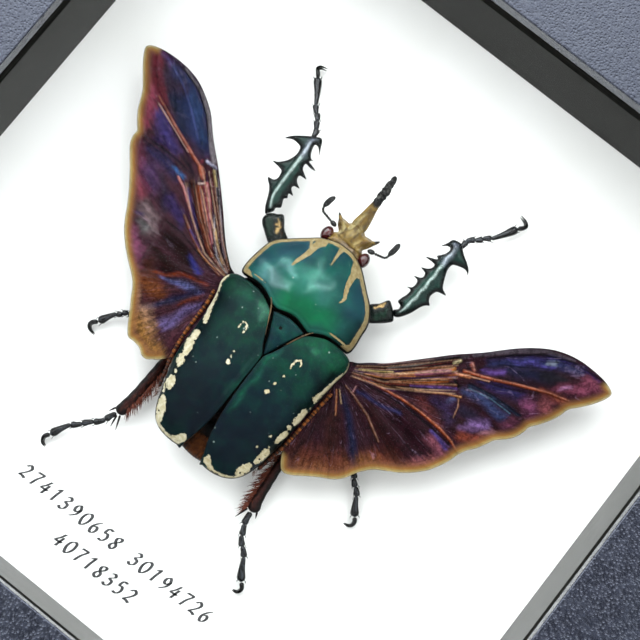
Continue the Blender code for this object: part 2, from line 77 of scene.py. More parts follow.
# Outlines in plan, from the middle of the board
THORAX_OUTLINE = [
    (-0.8, 19.8), (1.6, 19.7), (3.4, 19.1), (4.9, 18.3), (7, 16.6), (9, 14.9), (10.5, 13.7),
    (11.9, 12.2), (12.9, 10.6), (13.4, 9), (13.6, 7), (13.9, 4.8), (13.9, 3.2), (13.5, 2.3),
    (12.6, 2), (10.5, 1.9), (8.3, 1.6), (6.6, 0.8), (5.2, -0.1), (4.2, -0.3), (2.4, 0.2),
    (0.5, 0.5), (-1.4, 0.2), (-3.2, -0.4), (-4.6, -0.3), (-6.4, 0.5), (-8.2, 1.3), (-10.3, 1.7),
    (-12.5, 1.7), (-14.2, 1.8), (-15, 2.4), (-15.2, 3.6), (-15.2, 5.2), (-14.9, 7.5),
    (-14.6, 9.2), (-14.2, 10.8), (-13.2, 12.3), (-11.8, 13.6), (-10, 15.2), (-8, 16.9),
    (-6.4, 18.2), (-4.8, 19), (-3, 19.6)]
ELYTRON_OUTLINE = {
    "left": [
        (-9.2, 0.9), (-12, 1.1), (-15, 0.9), (-16.3, 0.1), (-16.9, -1.4), (-16.8, -2.8),
        (-16.2, -4.3), (-15.7, -6.5), (-15.3, -9.5), (-15.05, -13), (-14.9, -17), (-14.6, -20),
        (-13.9, -23), (-13, -25.8), (-12.2, -28), (-11.5, -30), (-10.6, -31.8), (-9.4, -33.3),
        (-7.8, -34.3), (-6, -34.75), (-4, -34.9), (-2.5, -34.8), (-1.6, -35), (-1.35, -34.2),
        (-1.1, -32.8), (-0.5, -30.8), (0.1, -28), (0.4, -24), (0.5, -19), (0.5, -14),
        (0.42, -10), (-0.9, -7.8), (-2, -5.5), (-3.4, -2.8), (-4.4, -1.2), (-6.4, -0.1),
        (-7.7, 0.5)],
    "right": [
        (9.2, 1.5), (12, 1.7), (14.3, 1.4), (15.3, 0.7), (15.8, -0.8), (15.7, -2.4), (15.35, -5),
        (15.1, -9), (14.85, -14), (14.65, -19), (14.3, -23), (13.8, -27), (13, -30),
        (12, -32), (10.6, -33.4), (8.9, -34.3), (7, -34.8), (5.2, -34.9), (4.3, -34.8),
        (3.8, -35.1), (3.55, -34), (3.2, -32.6), (2.5, -30.8), (1.8, -28), (1.15, -24),
        (0.74, -19), (0.62, -14), (0.62, -10), (1.7, -7.8), (2.65, -5.5), (3.8, -2.8),
        (4.6, -1.2), (6, 0), (7.7, 1)]}
SCUTELLUM_OUTLINE = [
    (-3.6, -1.0), (-1.6, -0.35), (0.5, -0.1), (2.6, -0.35), (4.2, -0.9), (3.5, -2.6), (2.2, -5.6),
    (0.45, -9.6), (-1.5, -5.6), (-2.9, -2.6)]
WING_OUTLINE = {
    "left": [
        (-13.8, -0.6), (-15.4, 0.7), (-17.2, 1.4), (-18.8, 2.6), (-20.5, 4), (-23, 6.5),
        (-25.5, 9.2), (-28, 11.8), (-30.5, 14.3), (-33, 16.7), (-35.5, 18.9), (-38, 21.2),
        (-40, 23.3), (-42, 25.2), (-45, 27.2), (-48, 28.7), (-51, 29.5), (-54, 29.8),
        (-57, 29.7), (-59.5, 29.3), (-61.3, 28.6), (-61.9, 27.6), (-61.2, 26), (-59.8, 24),
        (-58, 21.8), (-56.5, 19.9), (-55.6, 18.2), (-54.5, 15.9), (-52.8, 13.5), (-51.6, 12.1),
        (-51.6, 10.8), (-51, 9), (-49.5, 7), (-47.8, 5), (-46, 2.7), (-44.2, 0.2),
        (-42.6, -2.3), (-41.4, -4.4), (-39.8, -6.6), (-37.5, -9), (-35, -11.1), (-32.5, -13),
        (-31, -14.6), (-29.6, -16.8), (-28.2, -18.9), (-26.5, -21.6), (-24.9, -23.5),
        (-23.4, -23.6), (-21.6, -23.9), (-20.2, -24.8), (-18.9, -24.9), (-17.6, -24),
        (-16.4, -23), (-14.6, -20), (-14.4, -12), (-14.2, -4)],
    "right": [
        (13.4, -0.2), (15, 1.4), (16.5, 2.2), (18.5, 3.9), (21, 5.7), (23.5, 8.2), (26, 10.8),
        (28.5, 13.4), (31, 16), (33.5, 18.3), (36, 20.6), (38.5, 23.2), (41, 25.7),
        (44, 28.2), (47, 30.1), (50, 31.3), (53, 31.9), (56, 32), (59, 31.8),
        (61, 31.3), (62.3, 30.6), (62.4, 29.7), (61.7, 28), (60.3, 25.8), (58.7, 23.8),
        (57.2, 22), (56.6, 20), (55.6, 17.8), (54.2, 15.6), (53, 14), (52.7, 12.5),
        (52, 10.7), (50.8, 9), (49, 7.3), (48, 5.5), (47, 3.6), (45.6, 1.8), (44.7, 0),
        (44.1, -2), (43.2, -4), (41.8, -6.4), (39.8, -8.6), (37.5, -10.5), (35, -12),
        (32.8, -13.4), (31.3, -15), (30.2, -16.6), (29.2, -18.4), (27.6, -20.1), (24.6, -21.9),
        (22.2, -23.5), (20, -25), (18.2, -25.5), (17, -24.6), (15.4, -22), (14, -18),
        (13.8, -12), (13.6, -4)]}

# Heights of the ridges along Y
ELYTRON_CREST = [(-35.2, 9.9), (-34.0, 11.4), (-32.0, 13.2), (-29.0, 14.9), (-25.0, 16.2),
                 (-20.0, 17.1), (-14.0, 17.5), (-9.0, 17.4), (-5.0, 17.0), (-2.0, 16.4), (0.0, 15.8),
                 (2.0, 15.0)]
THORAX_CREST = [(-0.6, 15.9), (2.0, 16.3), (6.0, 16.6), (10.0, 16.0), (14.0, 14.3), (17.0, 12.6),
                (20.0, 10.9)]
# Where the wing cases meet, and about how wide each is
SUTURE_X = 0.5
CASE_WIDE = 15.0

# Heights of the pieces' edges
ELYTRON_LOW = 9.3
THORAX_EDGE = 9.0
SCUTELLUM_EDGE = 15.6
ABDOMEN_EDGE = 7.2
TAIL_EDGE = 7.6
HEAD_EDGE = 6.9
SHIN_EDGE = 5.0
THIGH_EDGE = 4.8
FLANK_HEIGHT = 9.2
WING_HEIGHT = 8.8

# Level planes on which the marks are given
THORAX_PLANE = 9.0
CASE_PLANE = 10.0

# Straw border of the shield, and the end of the dark line inside it
THORAX_BORDER = 1.22
THORAX_LINE = 1.55
SHIELD_DIM = 0.52

# Ribs and hair along the hind body
RIB_PITCH = 0.95
FRINGE_HAIRS = 210
FLANK_HAIRS = 170
TAIL_HAIRS = 420


def srgb(red, green, blue):
    """Linear colour from the 0 to 255 values of a screen colour."""
    values = np.array([red, green, blue], dtype=float) / 255.0
    linear = np.where(values <= 0.04045, values / 12.92, ((values + 0.055) / 1.055) ** 2.4)
    return (*linear, 1.0)


def smooth_line(points, step, closed=False):
    """Points about a step apart on a Catmull-Rom curve through the given ones, of any dimension."""
    knots = np.array(points, dtype=float)
    count = len(knots)
    spans = count if closed else count - 1
    out = []
    for i in range(spans):
        if closed:
            a, b, c, d = (knots[(i + k) % count] for k in (-1, 0, 1, 2))
        else:
            a, b, c, d = (knots[min(max(i + k, 0), count - 1)] for k in (-1, 0, 1, 2))
        pieces = max(1, int(round(np.linalg.norm((c - b)[:3]) / step)))
        for t in np.arange(pieces) / pieces:
            out.append(0.5 * (2 * b + (c - a) * t + (2 * a - 5 * b + 4 * c - d) * t * t
                              + (3 * b - a - 3 * c + d) * t ** 3))
    if not closed:
        out.append(knots[-1])
    return np.array(out)


def segment_distance(points, starts, ends):
    """Distance from each point to each segment, and where along the segment, as two matrices."""
    along = ends - starts
    length = np.maximum((along ** 2).sum(1), 1e-12)
    away = points[:, None, :] - starts[None]
    share = np.clip((away * along[None]).sum(2) / length[None], 0.0, 1.0)
    gap = away - share[..., None] * along[None]
    return np.sqrt((gap ** 2).sum(2)), share


def outline_distance(points, outline):
    """Distance in from the outline: positive inside, negative outside."""
    starts = np.asarray(outline, dtype=float)
    ends = np.roll(starts, -1, axis=0)
    distance = segment_distance(points, starts, ends)[0].min(1)
    x, y = points[:, :1], points[:, 1:2]
    crosses = (starts[None, :, 1] > y) != (ends[None, :, 1] > y)
    rise = np.where(ends[:, 1] == starts[:, 1], 1e-9, ends[:, 1] - starts[:, 1])
    at = starts[None, :, 0] + (y - starts[None, :, 1]) * (ends - starts)[None, :, 0] / rise[None]
    inside = (crosses & (x < at)).sum(1) % 2 == 1
    return np.where(inside, distance, -distance)


def stroke_distance(points, stroke):
    """How far inside a brush stroke each point is; the stroke is a list of x, y, half width."""
    stroke = np.array(stroke, dtype=float)
    if len(stroke) == 1:
        return stroke[0, 2] - np.linalg.norm(points - stroke[0, :2], axis=1)
    distance, share = segment_distance(points, stroke[:-1, :2], stroke[1:, :2])
    widths = stroke[:-1, 2] + share * (stroke[1:, 2] - stroke[:-1, 2])[None]
    return (widths - distance).max(1)


def unseen(points, plane):
    """Where points show on a level plane, as seen from the camera."""
    share = (points[:, 2] - plane) / (CAMERA_MM[2] - plane)
    eye = np.array(CAMERA_MM[:2])
    return (points[:, :2] - eye * share[:, None]) / (1.0 - share[:, None])


def unit(vectors):
    """The vectors brought to length 1."""
    return vectors / np.maximum(np.linalg.norm(vectors, axis=1), 1e-9)[:, None]


def smoothstep(low, high, value):
    """0 below low, 1 above high and a smooth turn between."""
    t = np.clip((value - low) / (high - low), 0.0, 1.0)
    return t * t * (3.0 - 2.0 * t)


def bump_at(points, x, y, radius):
    """A round soft hump of height 1."""
    return np.exp(-((points[:, 0] - x) ** 2 + (points[:, 1] - y) ** 2) / radius ** 2)


class Shape:
    """A mesh in the making: vertices in millimetres above the board, faces and vertex values."""

    def __init__(self, points, faces, **values):
        self.points = np.asarray(points, dtype=float)
        self.faces = [tuple(face) for face in faces]
        self.values = values


def join(shapes):
    """One shape from several; a value that one of them lacks is 0 there."""
    points, faces, start = [], [], 0
    names = sorted({name for shape in shapes for name in shape.values})
    values = {name: [] for name in names}
    for shape in shapes:
        points.append(shape.points)
        faces += [tuple(i + start for i in face) for face in shape.faces]
        start += len(shape.points)
        for name in names:
            given = shape.values.get(name, 0.0)
            values[name].append(np.broadcast_to(given, len(shape.points)))
    return Shape(np.vstack(points), faces, **{name: np.concatenate(v) for name, v in values.items()})


def make_piece(name, shape, material, nodes=(), colours=None, smooth=True):
    """A visible object from a shape, riding on the root."""
    mesh = bpy.data.meshes.new(name)
    points = shape.points * MM + np.array((0.0, 0.0, BOARD_TOP))
    mesh.from_pydata(points.tolist(), [], shape.faces)
    for value, data in shape.values.items():
        layer = mesh.attributes.new(value, "FLOAT", "POINT")
        layer.data.foreach_set("value", np.asarray(data, dtype=np.float32))
    if colours is not None:
        layer = mesh.attributes.new("tint", "FLOAT_COLOR", "POINT")
        layer.data.foreach_set("color", np.asarray(colours, dtype=np.float32).ravel())
    if smooth:
        mesh.shade_smooth()
    mesh.validate()
    mesh.materials.append(material)
    piece = bpy.data.objects.new(name, mesh)
    bpy.context.scene.collection.objects.link(piece)
    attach(piece, "root")
    if nodes:
        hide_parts(*nodes)


def plan_mesh(outline, spacing, rings):
    """Triangles over an outline: its own points, rings just inside it and an even filling."""
    outline = np.asarray(outline, dtype=float)
    before = np.roll(outline, 1, axis=0)
    after = np.roll(outline, -1, axis=0)
    along = after - before
    turn = np.sign(np.sum(before[:, 0] * outline[:, 1] - before[:, 1] * outline[:, 0]))
    inward = np.stack((-along[:, 1], along[:, 0]), axis=1) * turn
    inward = unit(inward)
    chosen = [outline]
    for ring in rings:
        candidates = outline + inward * ring
        depth = outline_distance(candidates, outline)
        chosen.append(candidates[depth > ring * 0.9])
    low, high = outline.min(0), outline.max(0)
    columns = np.arange(low[0], high[0], spacing)
    rows = np.arange(low[1], high[1], spacing * math.sqrt(3.0) / 2.0)
    grid = np.stack(np.meshgrid(columns, rows), axis=2)
    grid[1::2, :, 0] += spacing / 2.0
    grid = grid.reshape(-1, 2)
    clear = max(rings) + spacing * 0.45
    chosen.append(grid[outline_distance(grid, outline) > clear])
    points = [Vector(p) for p in np.vstack(chosen)]
    border = [list(range(len(outline)))]
    flat, _, faces, _, _, _ = geometry.delaunay_2d_cdt(points, [], border, 1, 1e-7)
    flat = np.array([tuple(p) for p in flat])
    triangles = np.array([face for face in faces if len(face) == 3])
    a, b, c = (flat[triangles[:, k]] for k in range(3))
    area = (b - a)[:, 0] * (c - a)[:, 1] - (b - a)[:, 1] * (c - a)[:, 0]
    triangles[area < 0] = triangles[area < 0][:, ::-1]
    return flat, triangles, np.maximum(outline_distance(flat, outline), 0.0)


def shell(outline, spacing, top, low, rings):
    """A closed body over an outline. top and low give heights from points and depth in from the edge."""
    flat, triangles, depth = plan_mesh(outline, spacing, rings)
    depth[depth < 1e-4] = 0.0
    upper = top(flat, depth)
    lower = low(flat, depth)
    inner = np.flatnonzero(depth > 0.0)
    match = np.arange(len(flat))
    match[inner] = len(flat) + np.arange(len(inner))
    points = np.vstack((np.column_stack((flat, upper)), np.column_stack((flat[inner], lower[inner]))))
    faces = list(map(tuple, triangles)) + list(map(tuple, match[triangles][:, ::-1]))
    under = np.concatenate((np.zeros(len(flat)), np.ones(len(inner))))
    edge = np.concatenate((depth, depth[inner]))
    return Shape(points, faces, edge=edge, under=under)


def tube(route, step, sides, swell=None):
    """A limb along points x, y, height, half width, half height, with rounded ends."""
    line = smooth_line(route, step)
    places = line[:, :3]
    ahead = np.roll(places, -1, axis=0)
    behind = np.roll(places, 1, axis=0)
    ahead[-1], behind[0] = places[-1], places[0]
    along = ahead - behind
    along = unit(along)
    up = np.array((0.0, 0.0, 1.0)) - along * along[:, 2:3]
    up = unit(up)
    across = np.cross(along, up)
    angles = np.arange(sides) * 2.0 * math.pi / sides
    share = np.linspace(0.0, 1.0, len(line))
    grow = np.ones((len(line), sides)) if swell is None else swell(share[:, None], angles[None])
    reach = np.concatenate(((0.0,), np.cumsum(np.linalg.norm(np.diff(places, axis=0), axis=1))))
    near = np.minimum(reach, reach[-1] - reach)
    dome = np.clip(near / np.maximum(line[:, 3], 1e-6), 0.0, 1.0)
    grow = grow * np.sqrt(np.clip(1.0 - (1.0 - dome) ** 2, 0.02, 1.0))[:, None]
    width = (line[:, 3:4] * grow)[..., None] * np.cos(angles)[None, :, None] * across[:, None]
    height = (line[:, 4:5] * grow)[..., None] * np.sin(angles)[None, :, None] * up[:, None]
    points = (places[:, None] + width + height).reshape(-1, 3)
    faces = []
    for i in range(len(line) - 1):
        for k in range(sides):
            j = (k + 1) % sides
            faces.append((i * sides + k, i * sides + j, (i + 1) * sides + j, (i + 1) * sides + k))
    faces.append(tuple(range(sides))[::-1])
    faces.append(tuple(range((len(line) - 1) * sides, len(line) * sides)))
    return Shape(points, faces, along=np.repeat(share, sides))


def blob(centre, size, rows, sides):
    """A closed egg shape."""
    lift = np.linspace(-0.5, 0.5, rows + 1)[1:-1] * math.pi
    around = np.arange(sides) * 2.0 * math.pi / sides
    ring = [(0.0, 0.0, -1.0)]
    for a in lift:
        ring += [(math.cos(a) * math.cos(b), math.cos(a) * math.sin(b), math.sin(a)) for b in around]
    ring.append((0.0, 0.0, 1.0))
    points = np.array(ring) * size + centre
    faces = []
    last = len(points) - 1
    for k in range(sides):
        j = (k + 1) % sides
        faces.append((0, 1 + j, 1 + k))
        faces.append((last, last - sides + k, last - sides + j))
        for i in range(rows - 2):
            start = 1 + i * sides
            faces.append((start + k, start + j, start + sides + j, start + sides + k))
    return Shape(points, faces)


def hairs(roots, tips, thick, droop=0.0):
    """Fine tapering hairs from roots to tips, each bent a little."""
    roots, tips = np.asarray(roots, dtype=float), np.asarray(tips, dtype=float)
    count = len(roots)
    along = tips - roots
    side = np.cross(along, (0.0, 0.0, 1.0))
    side = unit(side)
    up = np.cross(side, along)
    up = unit(up)
    rows = []
    for share, radius in ((0.0, 1.0), (0.35, 0.85), (0.7, 0.55), (1.0, 0.12)):
        middle = roots + along * share + np.array((0.0, 0.0, -droop)) * share * share
        for angle in (0.0, 2.0 * math.pi / 3.0, 4.0 * math.pi / 3.0):
            rows.append(middle + (side * math.cos(angle) + up * math.sin(angle)) * radius * thick)
    points = np.stack(rows, axis=1).reshape(-1, 3)
    faces = []
    for h in range(count):
        base = h * 12
        for i in range(3):
            for k in range(3):
                j = (k + 1) % 3
                faces.append((base + i * 3 + k, base + i * 3 + j, base + i * 3 + 3 + j,
                              base + i * 3 + 3 + k))
        faces.append((base + 2, base + 1, base))
        faces.append((base + 9, base + 10, base + 11))
    return Shape(points, faces)


class Paint:
    """A material with short calls for the nodes that it is made of."""

    def __init__(self, name):
        self.material = bpy.data.materials.new(name)
        self.material.use_nodes = True
        self.nodes = self.material.node_tree.nodes
        self.links = self.material.node_tree.links
        self.shader = self.nodes["Principled BSDF"]
        self.output = self.nodes["Material Output"]

    def put(self, socket, value):
        """Sets a socket to a value, or links an output to it."""
        if isinstance(value, bpy.types.NodeSocket):
            self.links.new(value, socket)
        else:
            socket.default_value = value

    def value(self, name):
        """A vertex value of the mesh."""
        node = self.nodes.new("ShaderNodeAttribute")
        node.attribute_name = name
        return node.outputs["Fac"]

    def tint(self, level):
        """The colour painted on the mesh's vertices, brought to a level of brightness."""
        node = self.nodes.new("ShaderNodeAttribute")
        node.attribute_name = "tint"
        return self.scale(node.outputs["Color"], level)

    def coords(self, scale=(1.0, 1.0, 1.0), turn=0.0):
        """Object coordinates in millimetres, stretched and turned."""
        source = self.nodes.new("ShaderNodeTexCoord")
        node = self.nodes.new("ShaderNodeMapping")
        node.inputs["Scale"].default_value = tuple(s / MM for s in scale)
        node.inputs["Rotation"].default_value = (0.0, 0.0, turn)
        self.links.new(source.outputs["Object"], node.inputs["Vector"])
        return node.outputs["Vector"]

    def combine(self, x, y):
        """A vector from two numbers."""
        node = self.nodes.new("ShaderNodeCombineXYZ")
        for socket, value in zip(node.inputs, (x, y)):
            self.put(socket, value)
        return node.outputs[0]

    def noise(self, vector, scale=1.0, detail=3.0, rough=0.55, bend=0.0):
        """Soft noise, about 0.5 on average."""
        node = self.nodes.new("ShaderNodeTexNoise")
        node.inputs["Scale"].default_value = scale
        node.inputs["Detail"].default_value = detail
        node.inputs["Roughness"].default_value = rough
        node.inputs["Distortion"].default_value = bend
        self.links.new(vector, node.inputs["Vector"])
        return node.outputs["Fac"]

    def cells(self, vector, scale):
        """Cell noise: the distance to the nearest cell's middle."""
        node = self.nodes.new("ShaderNodeTexVoronoi")
        node.inputs["Scale"].default_value = scale
        self.links.new(vector, node.inputs["Vector"])
        return node.outputs["Distance"]

    def calc(self, operation, first, second=0.0):
        """One step of arithmetic."""
        node = self.nodes.new("ShaderNodeMath")
        node.operation = operation
        self.put(node.inputs[0], first)
        self.put(node.inputs[1], second)
        return node.outputs[0]

    def span(self, value, low, high, start=0.0, end=1.0, smooth=True):
        """Maps a range of values to another, clamped."""
        node = self.nodes.new("ShaderNodeMapRange")
        node.interpolation_type = "SMOOTHSTEP" if smooth else "LINEAR"
        for socket, number in zip(node.inputs, (value, low, high, start, end)):
            self.put(socket, number)
        return node.outputs["Result"]

    def mix(self, share, first, second, blend="MIX"):
        """Blends two colours."""
        node = self.nodes.new("ShaderNodeMix")
        node.data_type = "RGBA"
        node.blend_type = blend
        self.put(node.inputs["Factor"], share)
        self.put(node.inputs["A"], first)
        self.put(node.inputs["B"], second)
        return node.outputs["Result"]

    def scale(self, colour, factor):
        """A colour made lighter or darker."""
        node = self.nodes.new("ShaderNodeVectorMath")
        node.operation = "SCALE"
        self.put(node.inputs[0], colour)
        self.put(node.inputs["Scale"], factor)
        return node.outputs[0]

    def ramp(self, share, stops):
        """Colours along a ramp: place and colour for each stop."""
        node = self.nodes.new("ShaderNodeValToRGB")
        ramp = node.color_ramp
        while len(ramp.elements) < len(stops):
            ramp.elements.new(0.5)
        for element, (place_on, colour) in zip(ramp.elements, stops):
            element.position = place_on
            element.color = colour
        self.put(node.inputs["Fac"], share)
        return node.outputs["Color"]

    def bump(self, height, strength, depth):
        """A bump whose depth is in millimetres."""
        node = self.nodes.new("ShaderNodeBump")
        node.inputs["Strength"].default_value = strength
        node.inputs["Distance"].default_value = depth * MM
        self.put(node.inputs["Height"], height)
        return node.outputs["Normal"]

    def finish(self, **inputs):
        """Sets the Principled shader's sockets; an underscore in a name stands for a space."""
        for name, value in inputs.items():
            self.put(self.shader.inputs[name.replace("_", " ")], value)
        return self.material


def wobble(points, size, pitch, seed):
    """The points pushed about by a few slow waves, so that painted shapes get ragged outlines."""
    chance = np.random.default_rng(seed)
    moved = points.copy()
    for wave in range(6):
        angle = chance.uniform(0.0, math.pi)
        pace = 2.0 * math.pi / (pitch * chance.uniform(0.6, 1.8))
        phase = (points[:, 0] * math.cos(angle) + points[:, 1] * math.sin(angle)) * pace
        push = chance.uniform(0.0, 2.0 * math.pi)
        moved[:, wave % 2] += size * np.sin(phase + push)
    return moved


def paint(points, base, layers):
    """Colours at plan points: a base colour, or colours already there, then strokes with soft edges."""
    colour = base[:, :3] if len(base) > 3 else np.tile(srgb(*base)[:3], (len(points), 1))
    for stroke, tone, soft in layers:
        share = smoothstep(-soft, soft, stroke_distance(points, stroke))[:, None]
        colour = colour * (1.0 - share) + np.array(srgb(*tone)[:3]) * share
    return np.column_stack((colour, np.ones(len(points))))


def shade(colours, share, tone):
    """Blends painted colours towards a tone by each point's share."""
    share = share[:, None]
    colours[:, :3] = colours[:, :3] * (1.0 - share) + np.array(srgb(*tone)[:3]) * share


def most(points, strokes):
    """How far inside the nearest of several strokes each point is."""
    return np.max([stroke_distance(points, stroke) for stroke in strokes], axis=0)


def table_at(table, y):
    """A value read from a smooth curve through pairs of y and value."""
    keys = smooth_line(table, 0.4)
    return np.interp(y, keys[:, 0], keys[:, 1])


def half_width(outline, y):
    """Where the outline crosses each y: its lowest and highest x."""
    closed = np.vstack((outline, outline[:1]))
    low = np.full(len(y), np.inf)
    high = np.full(len(y), -np.inf)
    for (x0, y0), (x1, y1) in zip(closed[:-1], closed[1:]):
        if abs(y1 - y0) < 1e-9:
            continue
        inside = (y >= min(y0, y1)) & (y <= max(y0, y1))
        x = x0 + (y - y0) * (x1 - x0) / (y1 - y0)
        low[inside] = np.minimum(low[inside], x[inside])
        high[inside] = np.maximum(high[inside], x[inside])
    return low, high


def roll(depth, radius):
    """0 at the edge and 1 past the radius, with the section of a quarter circle."""
    return np.sqrt(np.clip(1.0 - (1.0 - np.clip(depth / radius, 0.0, 1.0)) ** 2, 0.0, 1.0))


# Materials

def rail_material():
    """Slate paint with a fine pebbled grain."""
    p = Paint("slate_paint")
    place = p.coords()
    grain = p.cells(place, 1.7)
    speck = p.noise(place, 2.2, 3.0, 0.6)
    tone = p.mix(p.span(speck, 0.4, 0.66), srgb(17, 19, 27), srgb(25, 28, 38))
    lumps = p.noise(place, 0.6, 5.0, 0.7)
    tone = p.scale(tone, p.span(lumps, 0.35, 0.65, 0.7, 1.3))
    height = p.calc("ADD", p.span(grain, 0.0, 0.55), p.calc("MULTIPLY", speck, 0.8))
    height = p.calc("ADD", height, p.calc("MULTIPLY", lumps, 1.6))
    return p.finish(Base_Color=tone, Roughness=p.span(lumps, 0.36, 0.64, 0.1, 0.28),
                    Specular_IOR_Level=p.span(speck, 0.35, 0.65, 0.94, 0.62),
                    Specular_Tint=srgb(224, 233, 255), Normal=p.bump(height, 1.0, 0.07))


def wood_material(name, turn):
    """Dark satin strip with a fine grain along its length."""
    p = Paint(name)
    stretch = (0.05, 2.4, 2.4) if turn else (2.4, 0.05, 2.4)
    grain = p.noise(p.coords(stretch), 1.6, 5.0, 0.65)
    fine = p.noise(p.coords(tuple(s * 3.0 for s in stretch)), 1.4, 3.0, 0.6)
    tone = p.ramp(grain, [(0.25, srgb(16, 16, 15)), (0.5, srgb(30, 30, 28)), (0.78, srgb(46, 46, 43))])
    tone = p.scale(tone, p.span(fine, 0.45, 0.75, 1.05, 0.6))
    view = p.nodes.new("ShaderNodeLayerWeight")
    sheen = p.span(view.outputs["Facing"], 0.66, 0.9, 0.03, 0.5)
    return p.finish(Base_Color=tone, Roughness=p.span(fine, 0.3, 0.7, 0.3, 0.45),
                    Specular_IOR_Level=sheen, Normal=p.bump(p.calc("ADD", grain, fine), 0.5, 0.04))


def board_material():
    """White mount board: a paper tooth and a few specks of dust."""
    p = Paint("white_board")
    place = p.coords()
    tooth = p.noise(place, 1.9, 5.0, 0.7)
    cloud = p.noise(place, 0.045, 3.0, 0.6)
    dust = p.cells(place, 0.085)
    tone = p.mix(p.span(cloud, 0.3, 0.75), srgb(249, 249, 247), srgb(243, 243, 240))
    tone = p.mix(p.span(dust, 0.012, 0.03, 0.35, 0.0), tone, srgb(190, 188, 182))
    return p.finish(Base_Color=tone, Roughness=0.85, Specular_IOR_Level=0.15,
                    Normal=p.bump(tooth, 0.35, 0.05))


def panel_material():
    """Brown fibreboard."""
    p = Paint("fibreboard")
    place = p.coords()
    fibre = p.noise(p.coords((0.7, 0.16, 0.7), 0.5), 2.2, 6.0, 0.75)
    other = p.noise(p.coords((0.16, 0.7, 0.7), -0.4), 2.2, 6.0, 0.75)
    tone = p.ramp(p.calc("MULTIPLY", p.calc("ADD", fibre, other), 0.5),
                  [(0.34, srgb(92, 62, 40)), (0.5, srgb(140, 101, 68)), (0.66, srgb(176, 138, 98))])
    pit = p.noise(place, 0.9, 5.0, 0.7)
    return p.finish(Base_Color=tone, Roughness=0.82, Normal=p.bump(p.calc("ADD", fibre, pit), 0.6, 0.18))


def zinc_material():
    """Plated sheet with rolling marks and dull patches."""
    p = Paint("zinc_plate")
    rolled = p.noise(p.coords((0.12, 2.2, 2.2)), 1.4, 4.0, 0.6)
    dull = p.noise(p.coords(), 0.35, 4.0, 0.65)
    tone = p.mix(p.span(dull, 0.35, 0.7), srgb(205, 204, 200), srgb(160, 160, 155))
    return p.finish(Base_Color=tone, Metallic=1.0, Roughness=p.span(dull, 0.3, 0.7, 0.28, 0.5),
                    Normal=p.bump(rolled, 0.3, 0.05))


def glass_material():
    """Clear low-reflection glazing, a little cloudy at places from wiping."""
    p = Paint("glazing")
    p.nodes.remove(p.shader)
    clear = p.nodes.new("ShaderNodeBsdfTransparent")
    clear.inputs["Color"].default_value = (0.985, 0.99, 0.988, 1.0)
    shine = p.nodes.new("ShaderNodeBsdfGlossy")
    smear = p.noise(p.coords(), 0.03, 4.0, 0.6)
    p.put(shine.inputs["Roughness"], p.span(smear, 0.3, 0.7, 0.01, 0.05))
    view = p.nodes.new("ShaderNodeLayerWeight")
    mirror = p.span(view.outputs["Facing"], 0.5, 1.0, 0.001, 0.24)
    blend = p.nodes.new("ShaderNodeMixShader")
    p.links.new(mirror, blend.inputs[0])
    p.links.new(clear.outputs[0], blend.inputs[1])
    p.links.new(shine.outputs[0], blend.inputs[2])
    p.links.new(blend.outputs[0], p.output.inputs["Surface"])
    return p.material


def shell_material(name, torn, level, grain=1.0, chalk=1.0):
    """Iridescent shell painted on its vertices. Its pale marks have edges torn by so many millimetres."""
    p = Paint(name)
    place = p.coords()
    pits = p.cells(place, 1.3)
    pitch = 0.14 + 0.26 * grain
    octaves = 5.0 if grain > 0.4 else 3.0
    mist = p.noise(place, pitch, octaves, 0.6)
    fine = p.noise(place, 2.2, 5.0, 0.7)
    tint = p.scale(p.tint(level), p.span(mist, 0.3, 0.7, 0.82, 1.22))
    tint = p.scale(tint, p.span(fine, 0.3, 0.68, 1.0 - 0.1 * grain, 1.0 + 0.12 * grain))
    tint = p.scale(tint, p.span(pits, 0.0, 0.2, 1.0 - 0.12 * grain, 1.0))
    fleck = p.span(fine, 0.56, 0.66, 0.0, 0.9 * max(grain - 0.4, 0.0))
    fleck = p.calc("MULTIPLY", fleck, p.span(mist, 0.42, 0.56))
    tint = p.mix(fleck, tint, p.mix(1.0, tint, (1.3, 1.75, 1.5, 1.0), "MULTIPLY"))
    hue = p.noise(place, pitch, octaves, 0.65, 0.4)
    violet = (1.0 + 0.06 * grain, 1.0 - 0.12 * grain, 1.0 + 0.1 * grain, 1.0)
    green = (0.95 - 0.09 * grain, 1.04 + 0.12 * grain, 1.03 - 0.03 * grain, 1.0)
    tint = p.mix(1.0, tint, p.mix(p.span(hue, 0.4, 0.62), violet, green), "MULTIPLY")
    dust = p.span(p.cells(place, 0.42), 0.05, 0.11, 0.7, 0.0)
    tint = p.mix(p.calc("MULTIPLY", dust, p.span(mist, 0.45, 0.55)), tint, srgb(136, 152, 146))
    ragged = p.calc("MULTIPLY", p.calc("SUBTRACT", p.noise(place, 1.7, 4.0, 0.7), 0.5), torn)
    pale = p.span(p.calc("ADD", p.value("pale"), ragged), -0.05, 0.05)
    vary = p.span(p.noise(place, 1.1, 4.0, 0.65), 0.3, 0.7)
    cream = p.mix(vary, p.mix(p.value("warm"), srgb(192, 188, 168), srgb(198, 178, 126)),
                  p.mix(p.value("warm"), srgb(158, 152, 122), srgb(160, 134, 82)))
    cream = p.scale(cream, chalk)
    black = p.span(p.calc("ADD", p.value("black"), p.calc("MULTIPLY", ragged, 0.3)), -0.07, 0.07)
    colour = p.mix(pale, tint, cream)
    colour = p.mix(black, colour, srgb(7, 9, 8))
    matt = p.calc("MAXIMUM", pale, black)
    height = p.calc("ADD", p.span(pits, 0.0, 0.28), fine)
    return p.finish(Base_Color=colour, Metallic=p.span(matt, 0.0, 1.0, 0.12, 0.0), Specular_IOR_Level=0.06,
                    Roughness=p.span(matt, 0.0, 1.0, 0.42, 0.55),
                    Normal=p.bump(height, 0.22 * grain, 0.015))


